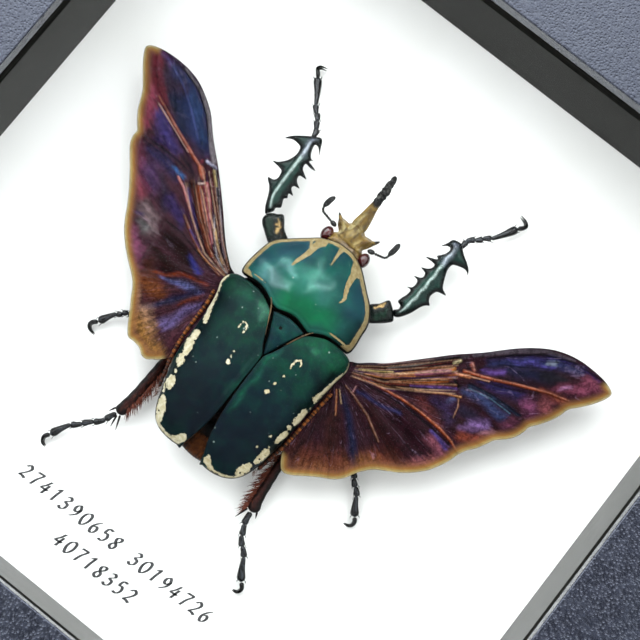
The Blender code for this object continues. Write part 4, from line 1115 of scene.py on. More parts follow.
def make_head(material, eye):
    """Head capsule with side horns, the long horn and the eyes."""
    sides = [(-5.4, 18.6), (-5.4, 20.4), (-5.0, 21.4), (-4.4, 22.0), (-5.0, 22.7), (-5.6, 23.3),
             (-6.0, 24.1),
             (-6.55, 24.9), (-6.75, 25.25), (-6.3, 25.25), (-5.5, 24.95), (-4.6, 24.95), (-3.7, 24.9),
             (-3.2, 25.3), (-1.5, 25.8), (0.2, 25.3), (0.7, 24.85), (1.7, 24.95), (2.7, 25.0),
             (3.3, 25.4),
             (3.9, 25.65), (4.0, 25.3), (3.5, 24.3), (3.0, 23.3), (2.6, 22.6), (2.2, 21.9), (2.7, 21.2),
             (3.0, 20.4), (3.0, 18.6)]
    outline = smooth_line(sides, 0.2, closed=True)

    def top(plan, depth):
        middle = np.exp(-((plan[:, 0] + 1.4) / 1.6) ** 2)
        fold = 0.35 * np.exp(-((plan[:, 1] - 20.5 - 0.03 * plan[:, 0] ** 2) / 0.3) ** 2)
        dent = 0.45 * bump_at(plan, -3.4, 24.0, 0.8) + 0.45 * bump_at(plan, 0.8, 24.0, 0.8)
        brow = 0.4 * bump_at(plan, -4.4, 21.6, 0.6) + 0.4 * bump_at(plan, 2.0, 21.4, 0.6)
        knob = 0.45 * bump_at(plan, -1.4, 22.4, 1.1)
        rise = 1.7 * roll(depth, 2.6) + 0.5 * middle + brow + knob - dent - fold
        return HEAD_EDGE + 0.35 * roll(depth, 0.3) + rise * smoothstep(0.0, 0.9, depth)

    def low(_, depth):
        return HEAD_EDGE - 2.4 * roll(depth, 2.8)

    def knobbly(share, angle):
        rough = (0.1 * np.sin(share * 61.0 + 2.0 * angle) + 0.09 * np.sin(share * 97.0 - 3.0 * angle + 1.0)
                 + 0.05 * np.sin(share * 173.0 + angle))
        keel = 0.1 * np.exp(-((angle - math.pi / 2.0) / 0.3) ** 2) * (share < 0.55)
        return 1.0 + smoothstep(0.45, 0.6, share) * rough + keel

    shape = shell(outline, 0.2, top, low, (0.1, 0.22))
    horn = tube(HORN_ROUTE, 0.16, 28, knobbly)
    teeth = [tube(route, 0.12, 12) for route in HORN_TEETH]
    whole = join([shape, horn] + teeth)
    flat = unseen(whole.points, THORAX_PLANE)
    # The near-white and pale cream strokes on the head and along the horn's left side, and the grey spots
    # on the black horn tip, are painted highlights; the dark fold line behind the head, the dark line by
    # the left eye and the brown lines in the creases and down the horn's right side are painted shade.
    layers = [
        ([(-4.0, 19.8, 0.8), (2.0, 19.6, 0.6)], (190, 158, 112), 0.6),
        ([(-1.8, 20.1, 0.5), (0.6, 20.0, 0.4)], (208, 182, 160), 0.5),
        ([(-2.0, 20.55, 0.1), (0.5, 20.55, 0.14), (2.8, 20.3, 0.14)], (98, 62, 40), 0.2),
        ([(-4.9, 20.2, 0.5), (-4.6, 21.0, 0.3)], (204, 166, 84), 0.5),
        ([(-5.6, 22.6, 0.1), (-4.4, 21.4, 0.14), (-3.6, 21.0, 0.1)], (66, 44, 34), 0.2),
        ([(2.0, 21.5, 0.15), (2.7, 21.2, 0.3)], (112, 78, 40), 0.4),
        ([(-4.6, 23.2, 0.8), (-3.6, 22.2, 0.6)], (150, 116, 66), 0.6),
        ([(0.6, 22.6, 0.9), (2.2, 23.4, 0.6)], (168, 132, 72), 0.6),
        ([(-2.2, 22.6, 0.5), (-1.0, 23.4, 0.6)], (216, 190, 132), 0.6),
        ([(-1.0, 24.4, 0.5), (-0.4, 25.6, 0.4)], (224, 200, 146), 0.5),
        ([(-2.6, 25.0, 0.2), (-2.2, 28.0, 0.2)], (216, 190, 126), 0.4),
        ([(-1.6, 24.0, 0.2), (-1.6, 26.5, 0.25), (-1.6, 29.5, 0.3)], (140, 104, 52), 0.5),
        ([(-0.3, 26.5, 0.2), (-0.5, 29.0, 0.2)], (196, 178, 138), 0.4),
        ([(-1.9, 29.4, 0.1), (-1.5, 29.8, 0.15)], (40, 28, 20), 0.15),
        ([(-1.2, 28.2, 0.08), (-0.9, 28.7, 0.08)], (52, 36, 24), 0.12),
        ([(-1.5, 32.0, 1.4), (-1.6, 39.0, 1.6)], (20, 20, 21), 0.45),
        ([(-1.4, 31.2, 0.15), (-0.9, 30.8, 0.1)], (36, 30, 26), 0.25),
        ([(-2.2, 32.7, 0.1), (-1.9, 33.4, 0.16)], (158, 158, 160), 0.2),
        ([(-1.2, 35.0, 0.1), (-1.6, 36.3, 0.12)], (120, 120, 124), 0.2),
        ([(-6.3, 24.8, 0.42), (-6.9, 25.5, 0.5)], (34, 34, 34), 0.2),
        ([(3.5, 24.9, 0.42), (4.1, 25.8, 0.5)], (38, 38, 38), 0.2),
        ([(3.2, 23.4, 0.12), (3.4, 24.2, 0.15)], (70, 58, 44), 0.2),
        ([(-6.1, 24.2, 0.12), (-5.6, 23.3, 0.12)], (70, 58, 44), 0.2),
        ([(-4.2, 21.3, 0.3), (-3.5, 22.6, 0.25), (-4.4, 23.9, 0.25)], (244, 224, 164), 0.4),
        ([(-2.7, 23.6, 0.3), (-2.4, 24.8, 0.3), (-2.1, 26.2, 0.16), (-1.95, 28.4, 0.1)], (248, 230, 176),
          0.35),
        ([(0.2, 21.5, 0.35), (0.7, 23.0, 0.2)], (236, 210, 146), 0.4),
        ([(1.6, 21.2, 0.25)], (240, 216, 158), 0.3),
        ([(-3.2, 21.8, 0.12), (-2.9, 23.0, 0.1)], (120, 84, 42), 0.25),
        ([(-0.9, 21.9, 0.14), (-0.6, 23.4, 0.12), (-0.4, 24.4, 0.1)], (122, 86, 40), 0.25),
        ([(1.2, 22.4, 0.12), (1.9, 23.6, 0.14)], (116, 80, 40), 0.25),
        ([(-0.35, 25.4, 0.2), (-0.6, 27.6, 0.22), (-0.8, 29.8, 0.2)], (112, 82, 44), 0.3),
        ([(-5.2, 23.4, 0.1), (-4.9, 24.4, 0.1)], (126, 92, 48), 0.2)]
    colours = paint(wobble(flat, 0.08, 1.2, 21), (184, 150, 80), layers)
    colours[:, 2] *= 0.86
    make_piece("head_and_horn", whole, material, ("head",), colours)

    for side, centre in (("left", (-6.0, 20.1, 7.4)), ("right", (3.75, 20.25, 7.4))):
        make_piece("eyeball_" + side, blob(centre, (1.3, 1.75, 1.6), 22, 36), eye, ("eye_" + side,))


# For each feeler: its pale patch, first joint, the line of its small joints and that of its club
FEELERS = {
    "left": (
        (-5.6, 22.6, 1.2),
        [(-5.5, 22.5, 6.7, 0.3, 0.3), (-6.1, 22.7, 6.8, 0.55, 0.5), (-6.8, 22.8, 6.9, 0.5, 0.45),
         (-7.1, 22.85, 6.9, 0.25, 0.25)],
        [(-7.1, 22.85, 6.9), (-7.6, 22.95, 6.95), (-8.1, 23.05, 7), (-8.7, 23.2, 7.05),
         (-9.3, 23.25, 7.1), (-9.8, 23.5, 7.15), (-10.1, 24, 7.2), (-10.15, 24.4, 7.25)],
        [(-10.15, 24.3, 7.3), (-9.95, 26, 7.5), (-9.55, 27.5, 7.6)]),
    "right": (
        (3.1, 22.8, 1.2),
        [(3, 22.7, 6.7, 0.3, 0.3), (3.6, 22.85, 6.8, 0.55, 0.5), (4.3, 23, 6.9, 0.5, 0.45),
         (4.7, 23.05, 6.9, 0.25, 0.25)],
        [(4.7, 23.05, 6.9), (5.2, 23.15, 6.95), (5.7, 23.3, 7), (6.2, 23.4, 7.05),
         (6.7, 23.5, 7.1), (7.1, 23.75, 7.15), (7.3, 24.2, 7.2), (7.35, 24.6, 7.25)],
        [(7.3, 24.5, 7.3), (7.55, 26.4, 7.5), (7.6, 28.05, 7.6)])}
# Along a small joint: share of its length and half width
FEELER_JOINT = ((-0.1, 0.24), (0.35, 0.3), (0.75, 0.42), (1.05, 0.3))


def make_feelers(material):
    """Feelers: a first joint, a row of small joints and a club of three leaves."""
    for side, (patch, scape, route, club) in FEELERS.items():
        shapes = [tube(scape, 0.12, 14)]
        for first, second in zip(route[:-1], route[1:]):
            a, b = np.array(first), np.array(second)
            shapes.append(tube([(*(a + (b - a) * t), r, r) for t, r in FEELER_JOINT], 0.08, 10))
        a, b, c = (np.array(point) for point in club)
        for layer in (-1.0, 0.0, 1.0):
            shift = np.array((0.32 * layer, 0.0, 0.16 * layer))
            end = 1.0 - 0.05 * abs(layer)
            points = [(*(a + shift * 0.3), 0.16, 0.2), (*(a + (b - a) * 0.4 + shift), 0.3, 0.45),
                      (*(b + shift), 0.34, 0.52), (*(b + (c - b) * 0.6 * end + shift), 0.26, 0.4),
                      (*(b + (c - b) * end + shift * 0.4), 0.06, 0.12)]
            shapes.append(tube(points, 0.12, 12))
        whole = join(shapes)
        colours = paint(whole.points[:, :2], (30, 31, 33), [([patch], (80, 82, 82), 0.6)])
        make_piece("feeler_" + side, whole, material, ("antenna_" + side,), colours)


WING_ROOT = {"left": (-14.0, -2.0), "right": (13.6, -1.6)}
WING_BASE = {"left": (70, 38, 48), "right": (54, 28, 37)}
# A few small pale spots near the right wing's tip, grey-blue and pink, are painted highlights.
WING_FIELDS = {
    "left": [
        ([(-38, 18, 1.6), (-42, 20.5, 2.6), (-46, 23.5, 3), (-50, 26, 2.6), (-55, 28.2, 1)],
          (38, 50, 92), 1.3),
        ([(-39, 19.5, 0.8), (-43, 22.5, 0.9), (-47, 25.6, 0.8)], (46, 68, 112), 0.9),
        ([(-44, 18.6, 0.8), (-47.5, 21, 1.1), (-50, 23, 0.8)], (30, 42, 74), 1),
        ([(-49.5, 25, 0.9), (-53, 24.8, 1.6), (-55, 26.4, 0.8)], (64, 48, 70), 1.1),
        ([(-56, 28.6, 0.8), (-58.5, 28.7, 0.7)], (78, 48, 98), 0.8),
        ([(-59.4, 28, 0.8), (-57.4, 25.6, 1.1), (-54.4, 22.4, 1), (-51, 20.4, 0.8)], (124, 42, 54), 0.9),
        ([(-55.2, 20, 1.4), (-53.4, 17.5, 1.8), (-51.6, 14.6, 1.3)], (168, 74, 98), 1.2),
        ([(-50, 17.6, 1), (-46, 15.2, 1.3), (-42, 14, 0.8)], (64, 54, 118), 1.1),
        ([(-47, 13.4, 0.6), (-42, 13, 0.4)], (52, 40, 92), 0.6),
        ([(-47, 10.5, 0.8), (-42, 10.4, 0.9), (-38, 9, 0.7)], (50, 48, 92), 0.9),
        ([(-40.2, 10.9, 0.3), (-37.3, 10.5, 0.45)], (62, 116, 182), 0.5),
        ([(-49.4, 9.6, 1.1), (-46, 6.6, 1.4)], (116, 56, 78), 1.3),
        ([(-44.2, 7.4, 1.6), (-41.2, 5, 1.5)], (82, 56, 98), 1.6),
        ([(-44.4, 3.6, 0.9), (-42.2, 1.8, 1)], (150, 68, 84), 1),
        ([(-43, 4.2, 0.2), (-41, 3.4, 0.3)], (92, 36, 60), 0.5),
        ([(-41.2, 8.2, 0.3), (-38.6, 5.2, 0.6), (-36, 2.6, 0.6)], (44, 36, 54), 0.6),
        ([(-37, 5, 0.8), (-33.4, 3.4, 1), (-31, 1.6, 0.5)], (58, 44, 98), 0.8),
        ([(-40.2, 0.4, 0.8), (-37.4, -1, 1.4), (-35.4, -2.8, 1)], (136, 114, 118), 1),
        ([(-41.2, -1.6, 0.2), (-38.6, -1.2, 0.25)], (70, 58, 96), 0.35),
        ([(-38.8, -2.9, 0.5), (-36.4, -3.6, 0.7)], (112, 112, 112), 0.7),
        ([(-39.2, -5.4, 0.8), (-36.2, -7.6, 1.3), (-33.4, -10.2, 0.8)], (150, 80, 116), 1.1),
        ([(-31.6, -1.6, 1.5), (-27, -2.6, 1.8), (-23, -3.4, 1)], (27, 7, 7), 0.9),
        ([(-32, -5.6, 1.1), (-28, -6.8, 1.4), (-24, -5.4, 0.6)], (34, 11, 9), 0.8),
        ([(-31.4, -8.8, 1.1), (-28.4, -10.2, 0.9)], (72, 36, 26), 0.9),
        ([(-25.4, -2.3, 0.4), (-21.6, -3.6, 0.4)], (52, 54, 140), 0.45),
        ([(-31.2, -12.2, 1.1), (-27.2, -12.6, 1.7), (-24.4, -12.2, 0.8)], (122, 66, 34), 1.2),
        ([(-18.6, -6.6, 0.2), (-22, -7.8, 0.6), (-27.4, -9.2, 0.3)], (92, 96, 150), 0.5),
        ([(-19, -4.8, 0.2), (-24, -6.1, 0.35), (-29.4, -9.4, 0.2)], (138, 58, 32), 0.35),
        ([(-18.4, -5.9, 0.2), (-23, -7.1, 0.3), (-26.6, -8.6, 0.15)], (34, 24, 42), 0.3),
        ([(-20, -7.4, 0.4), (-22.6, -11.6, 0.8), (-25.2, -15.4, 0.6), (-27.8, -18.8, 0.25)],
          (38, 36, 66), 0.5),
        ([(-18.4, -6.8, 0.15), (-20.4, -11, 0.35)], (112, 46, 28), 0.35),
        ([(-17.3, -8.6, 0.2), (-18.8, -12.6, 0.7), (-20.6, -17, 1)], (118, 102, 156), 0.8),
        ([(-16.9, -11, 0.2), (-17.2, -16, 0.6), (-17.3, -19, 0.6)], (86, 48, 58), 0.7),
        ([(-25.2, -17.2, 1), (-22.6, -19.6, 1.2)], (190, 144, 112), 1.3),
        ([(-30, -14.6, 0.5), (-28, -17.2, 0.6)], (206, 158, 124), 0.9),
        ([(-26.4, -19.6, 1.4), (-22.4, -21.4, 1.7), (-18.4, -22.6, 1.3)], (172, 122, 62), 1.6)],
    "right": [
        ([(38.5, 19.6, 0.6), (43, 23.6, 0.9), (48, 27.6, 1), (54, 30, 0.7)], (50, 58, 106), 0.9),
        ([(42, 20.6, 0.9), (46, 22.8, 1.4), (50, 25.2, 1.3)], (30, 32, 60), 1.1),
        ([(44.5, 25.6, 0.3), (49, 29, 0.5), (54, 30.9, 0.4), (58.5, 30.8, 0.3)], (46, 38, 92), 0.6),
        ([(41, 22.3, 0.2), (46, 25.4, 0.35), (49.6, 27.2, 0.25)], (88, 78, 160), 0.4),
        ([(47.6, 27.4, 0.25), (49.6, 28.1, 0.25)], (142, 152, 168), 0.4),
        ([(49, 24.6, 0.8), (52.4, 26, 1.2)], (36, 34, 42), 1),
        ([(52.6, 24.2, 0.4), (55.6, 26, 0.7), (58, 27.6, 0.9)], (152, 76, 102), 0.9),
        ([(56.6, 29.2, 1), (60, 29.5, 0.8)], (138, 70, 92), 1),
        ([(53.2, 24.4, 0.25), (55.2, 26, 0.2)], (200, 140, 186), 0.35),
        ([(50.4, 21.6, 0.3), (54, 22.6, 0.7), (56.6, 23, 0.7)], (150, 76, 58), 0.7),
        ([(38.4, 17.4, 0.4), (42, 19.8, 0.35)], (104, 74, 150), 0.5),
        ([(39, 15.6, 0.5), (44, 16.6, 1), (48, 18, 1)], (42, 38, 86), 0.9),
        ([(50, 17.6, 1.2), (52, 16, 0.8)], (126, 66, 100), 1.1),
        ([(53, 19.8, 1.2), (54, 17, 0.8)], (146, 78, 84), 1.1),
        ([(38, 13.2, 0.4), (43, 14.1, 0.5), (49, 14.4, 0.45)], (26, 44, 70), 0.5),
        ([(37.5, 11.6, 0.35), (43, 12.3, 0.8), (47, 12.1, 0.7)], (62, 74, 120), 0.8),
        ([(37.6, 12.2, 0.08), (42.6, 13.3, 0.1)], (170, 150, 190), 0.15),
        ([(49.4, 11.4, 1.1)], (128, 70, 96), 1.1),
        ([(39.5, 8, 0.9), (42, 8.6, 0.9)], (44, 38, 58), 0.9),
        ([(43.2, 7.2, 1), (45.4, 8.6, 1)], (132, 100, 156), 0.8),
        ([(42, 4.6, 0.5), (44.2, 6.2, 0.7)], (112, 80, 124), 0.7),
        ([(46.2, 6.4, 0.35), (47.6, 8.2, 0.35)], (166, 112, 126), 0.5),
        ([(42.6, 3, 0.7), (45.4, 4.4, 0.6), (47.6, 6.4, 0.35)], (144, 68, 50), 0.7),
        ([(34, 6.2, 1.1), (37, 6.3, 1.2), (39, 4.6, 0.7)], (56, 42, 74), 1),
        ([(36.6, 7.9, 0.5)], (88, 92, 134), 0.7),
        ([(31, 4.2, 0.7), (34, 3.3, 0.8), (38, 2.9, 0.6)], (98, 46, 46), 0.9),
        ([(30, -1.6, 1.4), (34, -2.4, 1.9), (36.6, -4.2, 1.6)], (40, 14, 24), 1.4),
        ([(24, -4, 1), (28, -6, 1.6), (34, -8, 1.6)], (46, 19, 21), 1.4),
        ([(38.4, -1.2, 0.8), (42, -1.6, 0.9), (42, -4.2, 0.9), (39, -6.8, 1.2)], (156, 88, 104), 1.1),
        ([(37.4, 0.3, 0.3), (41.6, -0.3, 0.3)], (76, 66, 142), 0.4),
        ([(20, -2.6, 0.2), (25, -1.7, 0.3), (30, -1, 0.2)], (48, 52, 98), 0.4),
        ([(19, -10, 1.1), (22, -14, 1.6), (24, -17, 1.4)], (56, 28, 26), 1.4),
        ([(18.6, -20.6, 2), (24, -18.6, 2), (28.6, -14.8, 1.8), (33.4, -10.6, 1.2)], (106, 56, 42), 2.2),
        ([(31, -11.4, 1), (34, -10.6, 0.8)], (120, 62, 44), 1.1),
        ([(18.6, -5.4, 0.4), (22, -8, 0.9), (25.6, -11.4, 0.9), (28.4, -14.8, 0.7), (30, -16.8, 0.3)],
          (32, 34, 62), 0.7),
        ([(29.2, -13.8, 0.5), (32, -12.2, 0.6)], (152, 98, 54), 1.3),
        ([(27, -19.4, 0.5), (23.6, -21.6, 0.6)], (150, 104, 70), 0.8),
        ([(17, -8, 0.3), (17.5, -15, 0.5), (18, -22, 0.7)], (46, 26, 30), 0.8),
        ([(20.4, -22.8, 1), (25, -20, 1), (28.6, -16.8, 0.8)], (138, 84, 52), 1.7),
        ([(32.6, -11.8, 0.7), (37.6, -9, 0.8), (41.4, -4.8, 0.6)], (148, 86, 62), 1.4),
        ([(20, 1.6, 0.3), (25, 5.4, 0.9), (30, 9.6, 1.4), (33.6, 12.4, 1.3)], (134, 70, 42), 0.8)]}
# The wings' rear edges, where the amber rim runs
WING_REAR = {
    "left": [
        (-61.4, 28), (-60, 25.2), (-57.6, 21.6), (-55.6, 18.2), (-54, 15), (-51.8, 11.6),
        (-49.5, 7), (-46, 2.7), (-43, -1.5), (-40.6, -5.6), (-37.6, -9), (-33, -12.7),
        (-30, -16), (-27.6, -20), (-25, -23.4), (-20, -24.8), (-18, -24.2)],
    "right": [
        (62, 29.6), (61, 27.4), (58.6, 24.2), (57, 22), (56.2, 20), (54.6, 16.6),
        (53, 13.4), (51.8, 10.6), (50, 8.4), (47.5, 5), (45.3, 1.4), (44.3, -1),
        (43, -4), (40.8, -7.4), (37, -10.8), (33, -13.3), (30.8, -15.8), (28.5, -18.9),
        (24, -22.1), (20, -24.8), (17, -24.8)]}
# Veins and folds: stroke, colour, softness and how high it stands. Some pale pink and cream lines along the
# veins are painted highlights, and some dark lines beside them are painted shadows.
WING_VEINS = {
    "left": [
        ([(-52, 29.2, 0.25), (-45, 26.8, 0.4), (-40, 22.9, 0.55), (-36.4, 18.9, 0.6),
          (-34.2, 16.9, 0.5)], (126, 118, 124), 0.25, 0.05),
        ([(-58, 29.5, 0.1), (-52, 28.8, 0.16), (-47, 27.3, 0.18), (-42, 23.9, 0.16),
          (-38.2, 19.7, 0.14)], (14, 16, 30), 0.16, 0.1),
        ([(-56.5, 28.6, 0.06), (-50, 26, 0.08), (-44, 21.8, 0.07), (-39.5, 18.2, 0.06)], (92, 100, 170),
          0.12, 0.06),
        ([(-51, 24, 0.1), (-48.5, 21.4, 0.14), (-47.6, 19.8, 0.08)], (18, 22, 40), 0.2, -0.06),
        ([(-59.2, 28.4, 0.2), (-57, 25.2, 0.26), (-54, 22.2, 0.2), (-51.5, 20.7, 0.12)], (92, 24, 40),
          0.3, 0.12),
        ([(-34.5, 13.8, 0.3), (-38, 15, 0.3), (-42, 16.5, 0.26), (-46, 18, 0.22), (-50, 19.7, 0.16),
          (-52.6, 20.8, 0.1)], (168, 78, 56), 0.2, 0.2),
        ([(-38, 13.8, 0.14), (-42, 15.5, 0.16), (-47, 17.5, 0.12)], (30, 20, 40), 0.2, -0.1),
        ([(-40, 15.2, 0.06), (-44, 16.7, 0.08), (-48, 18.2, 0.1), (-51.6, 19.5, 0.08)], (226, 170, 158),
          0.12, 0.12),
        ([(-50, 12.1, 0.12), (-45, 12.35, 0.18), (-40, 12.3, 0.16), (-37, 11.8, 0.14)], (12, 22, 38),
          0.18, -0.12),
        ([(-49, 11.3, 0.08), (-44, 11.4, 0.12), (-40, 11.2, 0.1)], (20, 34, 58), 0.14, -0.06),
        ([(-41, 13.8, 0.2), (-37.5, 12.9, 0.4), (-36, 11.9, 0.3)], (30, 18, 34), 0.3, 0),
        ([(-16.5, 0.7, 0.4), (-19, 2.5, 0.32), (-22, 5.1, 0.2), (-24, 7.2, 0.14)], (22, 18, 22), 0.16,
          0.1),
        ([(-19.5, 2.3, 0.24), (-22, 4.3, 0.3), (-25, 7.5, 0.32), (-28, 10.8, 0.36), (-31, 13.9, 0.4),
          (-33.5, 16.2, 0.34)], (128, 120, 134), 0.16, 0.12),
        ([(-18.5, 1.2, 0.16), (-21, 3, 0.16), (-24, 6, 0.15), (-27, 9.4, 0.15), (-30, 12.9, 0.15),
          (-32.6, 15.8, 0.15)], (20, 16, 20), 0.12, -0.08),
        ([(-19, 0.8, 0.16), (-22, 3, 0.22), (-25, 5.8, 0.16)], (186, 146, 78), 0.14, 0.16),
        ([(-30.5, 13.1, 0.16), (-33, 15.4, 0.24)], (200, 176, 110), 0.16, 0.14),
        ([(-18.5, 0.2, 0.1), (-21, 1.4, 0.14), (-24, 4.2, 0.13), (-27, 8, 0.1)], (190, 184, 192), 0.12,
          0.16),
        ([(-20, 0.2, 0.14), (-23, 2.4, 0.15), (-26, 5.8, 0.15), (-29, 9.5, 0.15), (-31.5, 12.2, 0.1)],
          (34, 16, 16), 0.14, -0.05),
        ([(-23.5, 2.8, 0.24), (-26.5, 5.6, 0.5), (-30, 9.6, 0.7), (-32.5, 12, 0.6)], (176, 88, 92), 0.24,
          0.14),
        ([(-22, 0.8, 0.3), (-26, 3.9, 0.5), (-30, 7.4, 0.7), (-33.5, 10.8, 0.6)], (156, 66, 34), 0.3,
          0.12),
        ([(-25.5, 4.3, 0.1), (-29.5, 7.9, 0.14), (-32.6, 10.6, 0.1)], (228, 164, 122), 0.12, 0.2),
        ([(-28.4, 9, 0.06), (-31.6, 12, 0.07)], (96, 34, 50), 0.1, -0.04),
        ([(-22, -0.3, 0.14), (-26, 2.2, 0.16), (-30, 5.3, 0.2), (-33, 8.7, 0.24), (-35.4, 10.4, 0.36)],
          (24, 12, 12), 0.16, -0.1),
        ([(-28, 3.3, 0.26), (-32, 6.3, 0.4), (-35, 8.8, 0.3)], (88, 62, 136), 0.24, 0.08),
        ([(-24, 0.6, 0.12), (-28, 3, 0.15), (-32, 5.8, 0.2), (-36, 8.6, 0.24), (-38.2, 9.6, 0.2)],
          (196, 112, 108), 0.14, 0.2),
        ([(-18, -1.5, 0.16), (-23, -0.6, 0.22), (-28, 1.6, 0.24), (-32, 4, 0.14)], (128, 62, 38), 0.2,
          0.14),
        ([(-25, 0.5, 0.12), (-29, 2.3, 0.2)], (62, 52, 118), 0.2, 0),
        ([(-20, -1.8, 0.1), (-25, -0.5, 0.18), (-30, 0.7, 0.24), (-34.2, 0.6, 0.22)], (22, 12, 18), 0.2,
          -0.06),
        ([(-17, -0.2, 0.14), (-20, 0.5, 0.12)], (198, 188, 180), 0.12, 0.12),
        ([(-17, -0.8, 0.12), (-21, -0.9, 0.14), (-25, 0, 0.12)], (190, 122, 66), 0.12, 0.14),
        ([(-34, 12.8, 0.4), (-35.6, 14.1, 0.5)], (204, 112, 82), 0.3, 0.25),
        ([(-33.9, 11.2, 0.25), (-33, 11.9, 0.2)], (232, 198, 186), 0.2, 0.25),
        ([(-33, 16.2, 0.2), (-35.6, 16.1, 0.3)], (166, 166, 196), 0.25, 0.12),
        ([(-34.8, 9.9, 0.4)], (16, 10, 14), 0.25, -0.2),
        ([(-36.4, 15.5, 0.35)], (126, 50, 62), 0.3, 0.1),
        ([(-33.2, 14.8, 0.1), (-32.6, 13.4, 0.12)], (24, 16, 18), 0.12, -0.1),
        ([(-34, 0.4, 0.08), (-33.6, -3, 0.1), (-33.2, -6.4, 0.1), (-32.2, -11.6, 0.08)], (84, 62, 66),
          0.3, 0.1)],
    "right": [
        ([(52, 31.2, 0.25), (46, 28.9, 0.4), (41, 24.9, 0.5), (37, 21.1, 0.5), (34.6, 18.7, 0.4)],
          (86, 76, 86), 0.25, 0.05),
        ([(59, 31.5, 0.1), (52, 30.7, 0.18), (46, 28, 0.2), (41, 23.8, 0.2), (37.2, 19.9, 0.18)],
          (14, 14, 24), 0.18, 0.1),
        ([(40, 20.4, 0.1), (44, 22.9, 0.12), (48.6, 26.2, 0.1)], (22, 22, 40), 0.16, -0.06),
        ([(46, 26.2, 0.08), (51, 29.6, 0.1), (57, 30.9, 0.08)], (24, 22, 46), 0.14, -0.05),
        ([(35, 14.8, 0.3), (38, 15.9, 0.3), (41, 17.2, 0.26), (45, 19.2, 0.26), (49, 21, 0.24),
          (52, 22.2, 0.2), (56, 23.4, 0.14)], (172, 78, 46), 0.2, 0.22),
        ([(36, 14.3, 0.14), (40.5, 16.3, 0.1)], (232, 160, 118), 0.12, 0.2),
        ([(38, 15, 0.14), (43, 16.9, 0.18), (48, 19.2, 0.14)], (26, 16, 38), 0.2, -0.1),
        ([(51, 21.4, 0.08), (54, 21.7, 0.1), (56.6, 21.6, 0.1)], (104, 44, 50), 0.2, 0.1),
        ([(37.5, 13.4, 0.12), (43, 14.5, 0.16), (50, 14.6, 0.14)], (10, 16, 30), 0.16, -0.12),
        ([(38, 12.5, 0.1), (43, 13.6, 0.1), (48, 13.6, 0.08)], (88, 124, 150), 0.14, 0.05),
        ([(16.5, 1.9, 0.24), (21, 5, 0.42), (26, 9.8, 0.5), (31, 15, 0.5), (33.8, 17.7, 0.3)],
          (72, 62, 68), 0.2, 0.06),
        ([(20, 4.8, 0.2), (25, 9.1, 0.3), (28.5, 12.6, 0.2)], (132, 94, 92), 0.2, 0.1),
        ([(16, 1.5, 0.3), (20.5, 4.1, 0.26), (25, 8, 0.24), (29.5, 12.9, 0.24), (32.5, 16.4, 0.28)],
          (16, 13, 15), 0.15, -0.06),
        ([(22, 5.2, 0.1), (26, 9.2, 0.14), (29, 12.4, 0.08)], (118, 112, 108), 0.12, 0.12),
        ([(17.5, 1.3, 0.14), (20, 2.9, 0.2), (23.4, 5.2, 0.16)], (196, 166, 88), 0.13, 0.18),
        ([(17, 0.7, 0.22), (21, 3, 0.2), (24, 5.4, 0.18), (28, 9.9, 0.15), (31, 13.6, 0.14)],
          (20, 13, 12), 0.14, -0.08),
        ([(19, 1.2, 0.2), (23, 3.7, 0.42), (27, 7.5, 0.7), (30, 10.6, 0.8), (33, 13.8, 0.5)],
          (196, 120, 60), 0.24, 0.14),
        ([(27.5, 8, 0.4), (30.5, 11, 0.5), (32.7, 12.9, 0.36)], (162, 92, 112), 0.24, 0.12),
        ([(28, 8.6, 0.06), (31.6, 12.2, 0.06)], (92, 38, 52), 0.1, 0),
        ([(18, 0.4, 0.12), (23, 2.9, 0.14), (28, 7.3, 0.14), (33, 11.9, 0.12)], (46, 18, 12), 0.14,
          -0.06),
        ([(24, 3.2, 0.24), (29, 7, 0.5), (33.4, 10.8, 0.6)], (160, 84, 36), 0.24, 0.14),
        ([(26, 5, 0.07), (32, 10.2, 0.09)], (206, 138, 76), 0.1, 0.18),
        ([(20, 1, 0.16), (26, 4.3, 0.2), (31, 7.8, 0.24), (34.5, 11, 0.3)], (26, 12, 12), 0.16, -0.1),
        ([(28, 5.4, 0.28), (32, 8.1, 0.4), (36, 10.7, 0.3)], (86, 58, 118), 0.22, 0.08),
        ([(17.5, -0.8, 0.12), (22, 1, 0.16), (27, 3.6, 0.2), (31, 6, 0.2), (35, 8.6, 0.2),
          (37.8, 9.9, 0.18)], (180, 112, 56), 0.14, 0.2),
        ([(20, 0.6, 0.1), (25, 2.6, 0.15), (30, 4.7, 0.14)], (32, 16, 18), 0.14, -0.06),
        ([(37.6, 9.4, 0.1), (38.6, 8, 0.1), (39.2, 5.6, 0.08)], (150, 90, 60), 0.14, 0.1),
        ([(19, 0.2, 0.12), (24, 1.2, 0.18), (28, 1.9, 0.22), (33, 2.2, 0.22), (38, 2, 0.26),
          (42, 1.3, 0.2), (44.2, 0.3, 0.12)], (166, 70, 34), 0.2, 0.18),
        ([(19, -0.6, 0.12), (25, 0.5, 0.18), (31, 1.2, 0.24), (37, 1, 0.24), (42, 0.5, 0.16)],
          (20, 12, 20), 0.2, -0.08),
        ([(17.4, -3.2, 0.1), (20, -3.8, 0.16), (25, -5.4, 0.18), (30, -8.2, 0.12)], (122, 68, 46), 0.2,
          0.14),
        ([(16.4, -5, 0.1), (18, -7.2, 0.12), (19.6, -9.4, 0.1)], (184, 98, 48), 0.12, 0.14),
        ([(16.8, -4.6, 0.08), (19, -6.8, 0.1)], (168, 132, 84), 0.1, 0.12),
        ([(19.2, -2, 0.12), (19.4, -3.2, 0.14)], (176, 110, 118), 0.2, 0.1),
        ([(34, 13.2, 0.26), (36.6, 14.5, 0.34)], (212, 130, 88), 0.26, 0.25),
        ([(33.1, 16, 0.26), (32.4, 14.8, 0.34)], (222, 204, 150), 0.2, 0.25),
